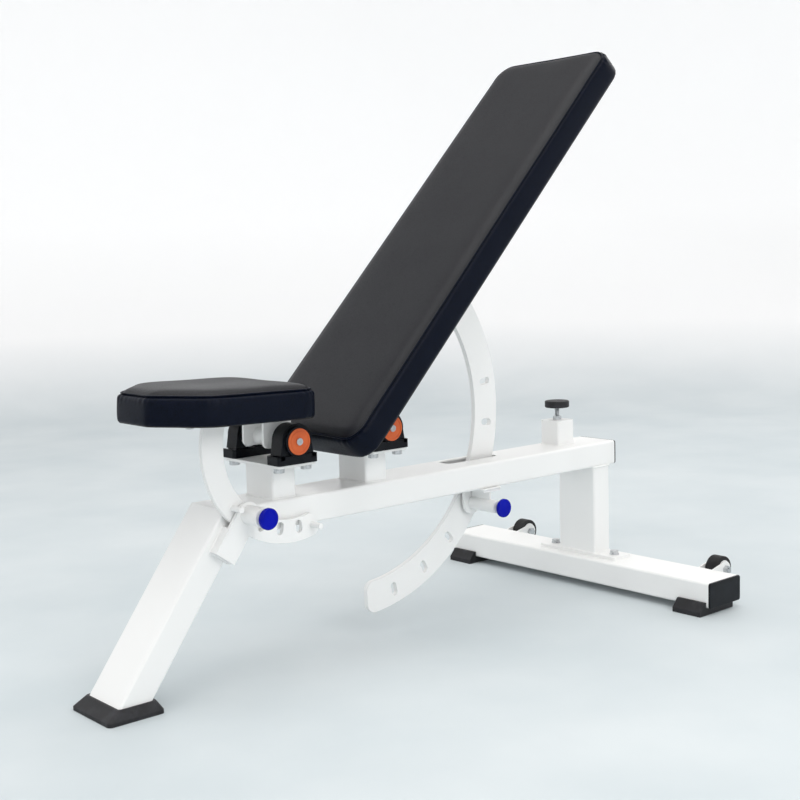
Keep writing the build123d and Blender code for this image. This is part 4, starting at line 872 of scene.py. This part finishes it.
def staples(name, line, low, body, to_bench):
    """Wire staples through the hem, one piece for the whole pad."""
    steps, _ = even_steps([Vector((p.x, p.y, low)) for p in line], STAPLE_GAP, True)
    dense, _ = even_steps([Vector((p.x, p.y, low)) for p in line], HEM_STEP, True)
    ways = inward(dense)
    points, faces = [], []
    for at in steps:
        near = min(range(len(dense)), key=lambda k: (dense[k] - at).length)
        into = ways[near]
        along = Vector((-into.y, into.x, 0))
        middle = at + into * STAPLE_IN + Vector((0, 0, -CLOTH_T - 0.3 * MM))
        crown, leg = along * (STAPLE_HALF - 0.2 * MM), along * STAPLE_HALF
        rise = Vector((0, 0, STAPLE_LEG))
        wire = [middle - leg + rise, middle - crown, middle + crown, middle + leg + rise]
        some, more = tube(wire, lambda k: WIRE_R, False, 6)
        base = len(points)
        points += some
        faces += [tuple(base + i for i in face) for face in more]
    return piece(name, [to_bench @ p for p in points], faces, body, "zinc_plate")


for word, line, low, body, to_bench in (("seat", seat_seam, seat_low, "seat", seat_frame),
                                        ("back", back_seam, back_low, "backrest", back_frame)):
    hem(f"{word}_hem", line, low, body, to_bench)
    made = staples(f"{word}_staples", line, low, body, to_bench)
    print(made.name, "points", len(made.data.vertices))

# %% [markdown]
# Each bearing block is closed by an orange cap with a pale plug in its centre. The plug is
# turned: a shallow dome with a small hollow, so it is made by spinning a profile.

# %% Cap centres
CAP_RECESS = 0.8 * MM
PLUG_PROFILE = ((0.0, 1.0), (1.6, 1.1), (2.2, 1.9), (4.8, 2.1), (5.9, 1.7), (6.3, 0.9), (6.3, -0.6))


def spin(profile, sides=40):
    """Points and faces of a turned shape: pairs of radius and height, in millimetres."""
    points, faces = [], []
    rings = [p for p in profile if p[0] > 0]
    points.append(Vector((0, 0, profile[0][1] * MM)))
    for radius, height in rings:
        for j in range(sides):
            turn = tau * j / sides
            points.append(Vector((radius * cos(turn), radius * sin(turn), height)) * MM)
    for j in range(sides):
        faces.append((0, 1 + j, 1 + (j + 1) % sides))
    for k in range(len(rings) - 1):
        for j in range(sides):
            a, b = 1 + k * sides, 1 + (k + 1) * sides
            faces.append((a + j, b + j, b + (j + 1) % sides, a + (j + 1) % sides))
    faces.append(tuple(1 + (len(rings) - 1) * sides + j for j in range(sides))[::-1])
    return points, faces


cap_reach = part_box("bearing_end_caps")[1].x
shafts = [j["pos_m"] for j in record["behaviour"]["joints"] if j["child"] in ("seat", "backrest")]
for place_word, at in zip(("seat", "back"), shafts):
    for side_word, sign in (("right", 1), ("left", -1)):
        points, faces = spin(PLUG_PROFILE)
        turn = Matrix.Rotation(sign * pi / 2, 4, "Y")
        there = Matrix.Translation(Vector((sign * (cap_reach - CAP_RECESS), at[1], at[2])))
        spots = [there @ turn @ p for p in points]
        piece(f"{place_word}_cap_centre_{side_word}", spots, faces, "frame", "white_plastic", boss_grey)
print("cap centres:", 2 * len(shafts))

# %% [markdown]
# The backrest's stop stands on an M10 stud, so that its height can be set. M10 coarse thread
# climbs 1.5 mm in one turn. The thread is modelled: the radius follows a wave that advances by
# one pitch per turn, and fades out at both ends as a rolled thread does.

# %% Threaded stud
PITCH = 1.5 * MM
THREAD_DEPTH = 0.85 * MM
SIDES = 28
ROW = PITCH / 8
stud_low, stud_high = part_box("stop_stud")
axis_x, axis_y = (stud_low.x + stud_high.x) / 2, (stud_low.y + stud_high.y) / 2
stud_r = (stud_high.x - stud_low.x) / 2
rows = ceil((stud_high.z - stud_low.z) / ROW)
points, faces = [], []
for k in range(rows + 1):
    z = stud_low.z + (stud_high.z - stud_low.z) * k / rows
    fade = min(1.0, 0.35 + min(k, rows - k) / 16)
    for j in range(SIDES):
        turn = tau * j / SIDES
        wave = 0.5 - 0.5 * cos(tau * (z / PITCH - j / SIDES))
        radius = stud_r * (0.93 + 0.07 * fade) - THREAD_DEPTH * wave * fade
        points.append((axis_x + radius * cos(turn), axis_y + radius * sin(turn), z))
for k in range(rows):
    for j in range(SIDES):
        a, b = k * SIDES, (k + 1) * SIDES
        faces.append((a + j, a + (j + 1) % SIDES, b + (j + 1) % SIDES, b + j))
faces.append(tuple(range(SIDES))[::-1])
faces.append(tuple(rows * SIDES + j for j in range(SIDES)))
stud = piece("stop_threaded_stud", points, faces, "stop", "zinc_plate")
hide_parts("stop_stud")
print("thread turns:", round((stud_high.z - stud_low.z) / PITCH, 1))

# %% [markdown]
# The studio is a pale floor that curves up into a wall all round, which photographers call a
# cove: there is no hard line behind the object. The floor is sealed concrete, painted a cool
# pale grey, with a soft mottle. The wall is white, and its faint glow, which grows with height,
# is painted light that makes it brighter than the lamps alone would.

# %% Floor and cove
COVE_R = 5.0
CURVE = 1.6
WALL = 4.5
SEGMENTS = 96
FLAT_RINGS, CURVE_RINGS = 6, 12
FLAT_R = COVE_R - CURVE
rings = [(FLAT_R * k / FLAT_RINGS, 0.0) for k in range(1, FLAT_RINGS + 1)]
for k in range(1, CURVE_RINGS + 1):
    lean = pi / 2 * k / CURVE_RINGS
    rings.append((FLAT_R + CURVE * sin(lean), CURVE - CURVE * cos(lean)))
rings.append((COVE_R, WALL))
points, faces = [(0.0, 0.0, 0.0)], []
for radius, height in rings:
    for j in range(SEGMENTS):
        turn = tau * j / SEGMENTS
        points.append((radius * cos(turn), radius * sin(turn), height))
for j in range(SEGMENTS):
    faces.append((0, 1 + j, 1 + (j + 1) % SEGMENTS))
for k in range(len(rings) - 1):
    for j in range(SEGMENTS):
        a, b = 1 + k * SEGMENTS, 1 + (k + 1) * SEGMENTS
        faces.append((a + j, b + j, b + (j + 1) % SEGMENTS, a + (j + 1) % SEGMENTS))
cove_mesh = bpy.data.meshes.new("studio_cove")
cove_mesh.from_pydata(points, [], faces)
cove_mesh.polygons.foreach_set("use_smooth", [True] * len(faces))
cove = bpy.data.objects.new("studio_cove", cove_mesh)
scene.collection.objects.link(cove)

material, tree = blank("pale sealed floor")
place = add(tree, "TexCoord").outputs["Object"]
height = add(tree, "SeparateXYZ", {"Vector": place})
mottle = add(tree, "TexNoise", {"Vector": place, "Scale": 2.2, "Detail": 4.0})
floor_tone = between(tree, mottle.outputs["Fac"], 0.35, 0.7, "#C4CDD1", "#D0D7DA")
climb = add(tree, "MapRange", {"Value": height.outputs["Z"], "From Min": 0.0, "From Max": 0.35})
tone = add(tree, "Mix", {0: climb.outputs["Result"], "A": floor_tone, "B": linear("#F5F5F6")},
           data_type="RGBA")
# Painted light: the cove gives off a faint light of its own, rising with height.
painted_wall_glow = add(tree, "MapRange", {"Value": height.outputs["Z"], "From Min": 0.02, "From Max": 0.9,
                              "To Max": 0.14})
shader = add(tree, "BsdfPrincipled", {
    "Base Color": tone.outputs["Result"], "Roughness": 0.6,
    "Emission Color": (1.0, 1.0, 1.0, 1.0), "Emission Strength": painted_wall_glow.outputs["Result"]})
close(tree, shader)
cove_mesh.materials.append(material)
print("cove radius in metres:", COVE_R)

# %% [markdown]
# Light is soft and even, as in a bright room: one wide panel overhead, one at the front right,
# a weak one at the front left, one behind to keep the edges apart, and a pale world for the
# rest. The lamps have the same barely warm white.

# %% Lights
LAMP_WHITE = "#FFFEFC"
WORLD_STRENGTH = 0.64


def panel(name, place, target, size, watts):
    """A square soft light aimed at a point."""
    lamp = bpy.data.lights.new(name, "AREA")
    lamp.shape = "SQUARE"
    lamp.size = size
    lamp.energy = watts
    lamp.color = linear(LAMP_WHITE)[:3]
    made = bpy.data.objects.new(name, lamp)
    scene.collection.objects.link(made)
    made.location = place
    made.rotation_euler = (target - Vector(place)).to_track_quat("-Z", "Y").to_euler()


middle = (cad_box[0] + cad_box[1]) / 2
panel("overhead panel", (0.3, -0.3, 3.6), middle, 3.2, 65)
panel("front side panel", (3.4, -0.5, 2.2), middle, 1.8, 31)
panel("left panel", (-2.6, -2.4, 2.4), middle, 1.6, 8)
panel("rear panel", (-0.6, 3.4, 2.6), middle, 2.0, 20)
world = bpy.data.worlds.new("bright room")
world.use_nodes = True
world.node_tree.nodes["Background"].inputs["Color"].default_value = linear("#FBFAF8")
world.node_tree.nodes["Background"].inputs["Strength"].default_value = WORLD_STRENGTH
scene.world = world
print("lamps:", len(bpy.data.lights))

# %% [markdown]
# The camera stands at the bench's front right, at hip height, looking slightly down. Its
# direction is written as a turn, a dip and a small roll, and the rest is trigonometry. The
# Standard view shows the colours as they were mixed.

# %% Camera
EYE = Vector((1.8054, -1.5574, 0.7129))
TURN, DIP, ROLL = radians(49.04), radians(6.48), radians(-1.57)
ahead = Vector((-sin(TURN) * cos(DIP), cos(TURN) * cos(DIP), -sin(DIP)))
across = Vector((cos(TURN), sin(TURN), 0))
upright = across.cross(ahead)
right = across * cos(ROLL) + upright * sin(ROLL)
top = upright * cos(ROLL) - across * sin(ROLL)
lens = bpy.data.cameras.new("bench camera")
lens.lens = 58.0
lens.sensor_width = 36.0
camera = bpy.data.objects.new("bench camera", lens)
scene.collection.objects.link(camera)
camera.matrix_world = Matrix((
    (right.x, top.x, -ahead.x, EYE.x), (right.y, top.y, -ahead.y, EYE.y),
    (right.z, top.z, -ahead.z, EYE.z), (0, 0, 0, 1)))
bpy.context.scene.camera = camera
scene.view_settings.view_transform = "Standard"
print("camera", tuple(round(c, 3) for c in EYE), "lens", lens.lens)

# %% [markdown]
# Last, the view layer is brought up to date.

# %% Update the view layer
bpy.context.view_layer.update()
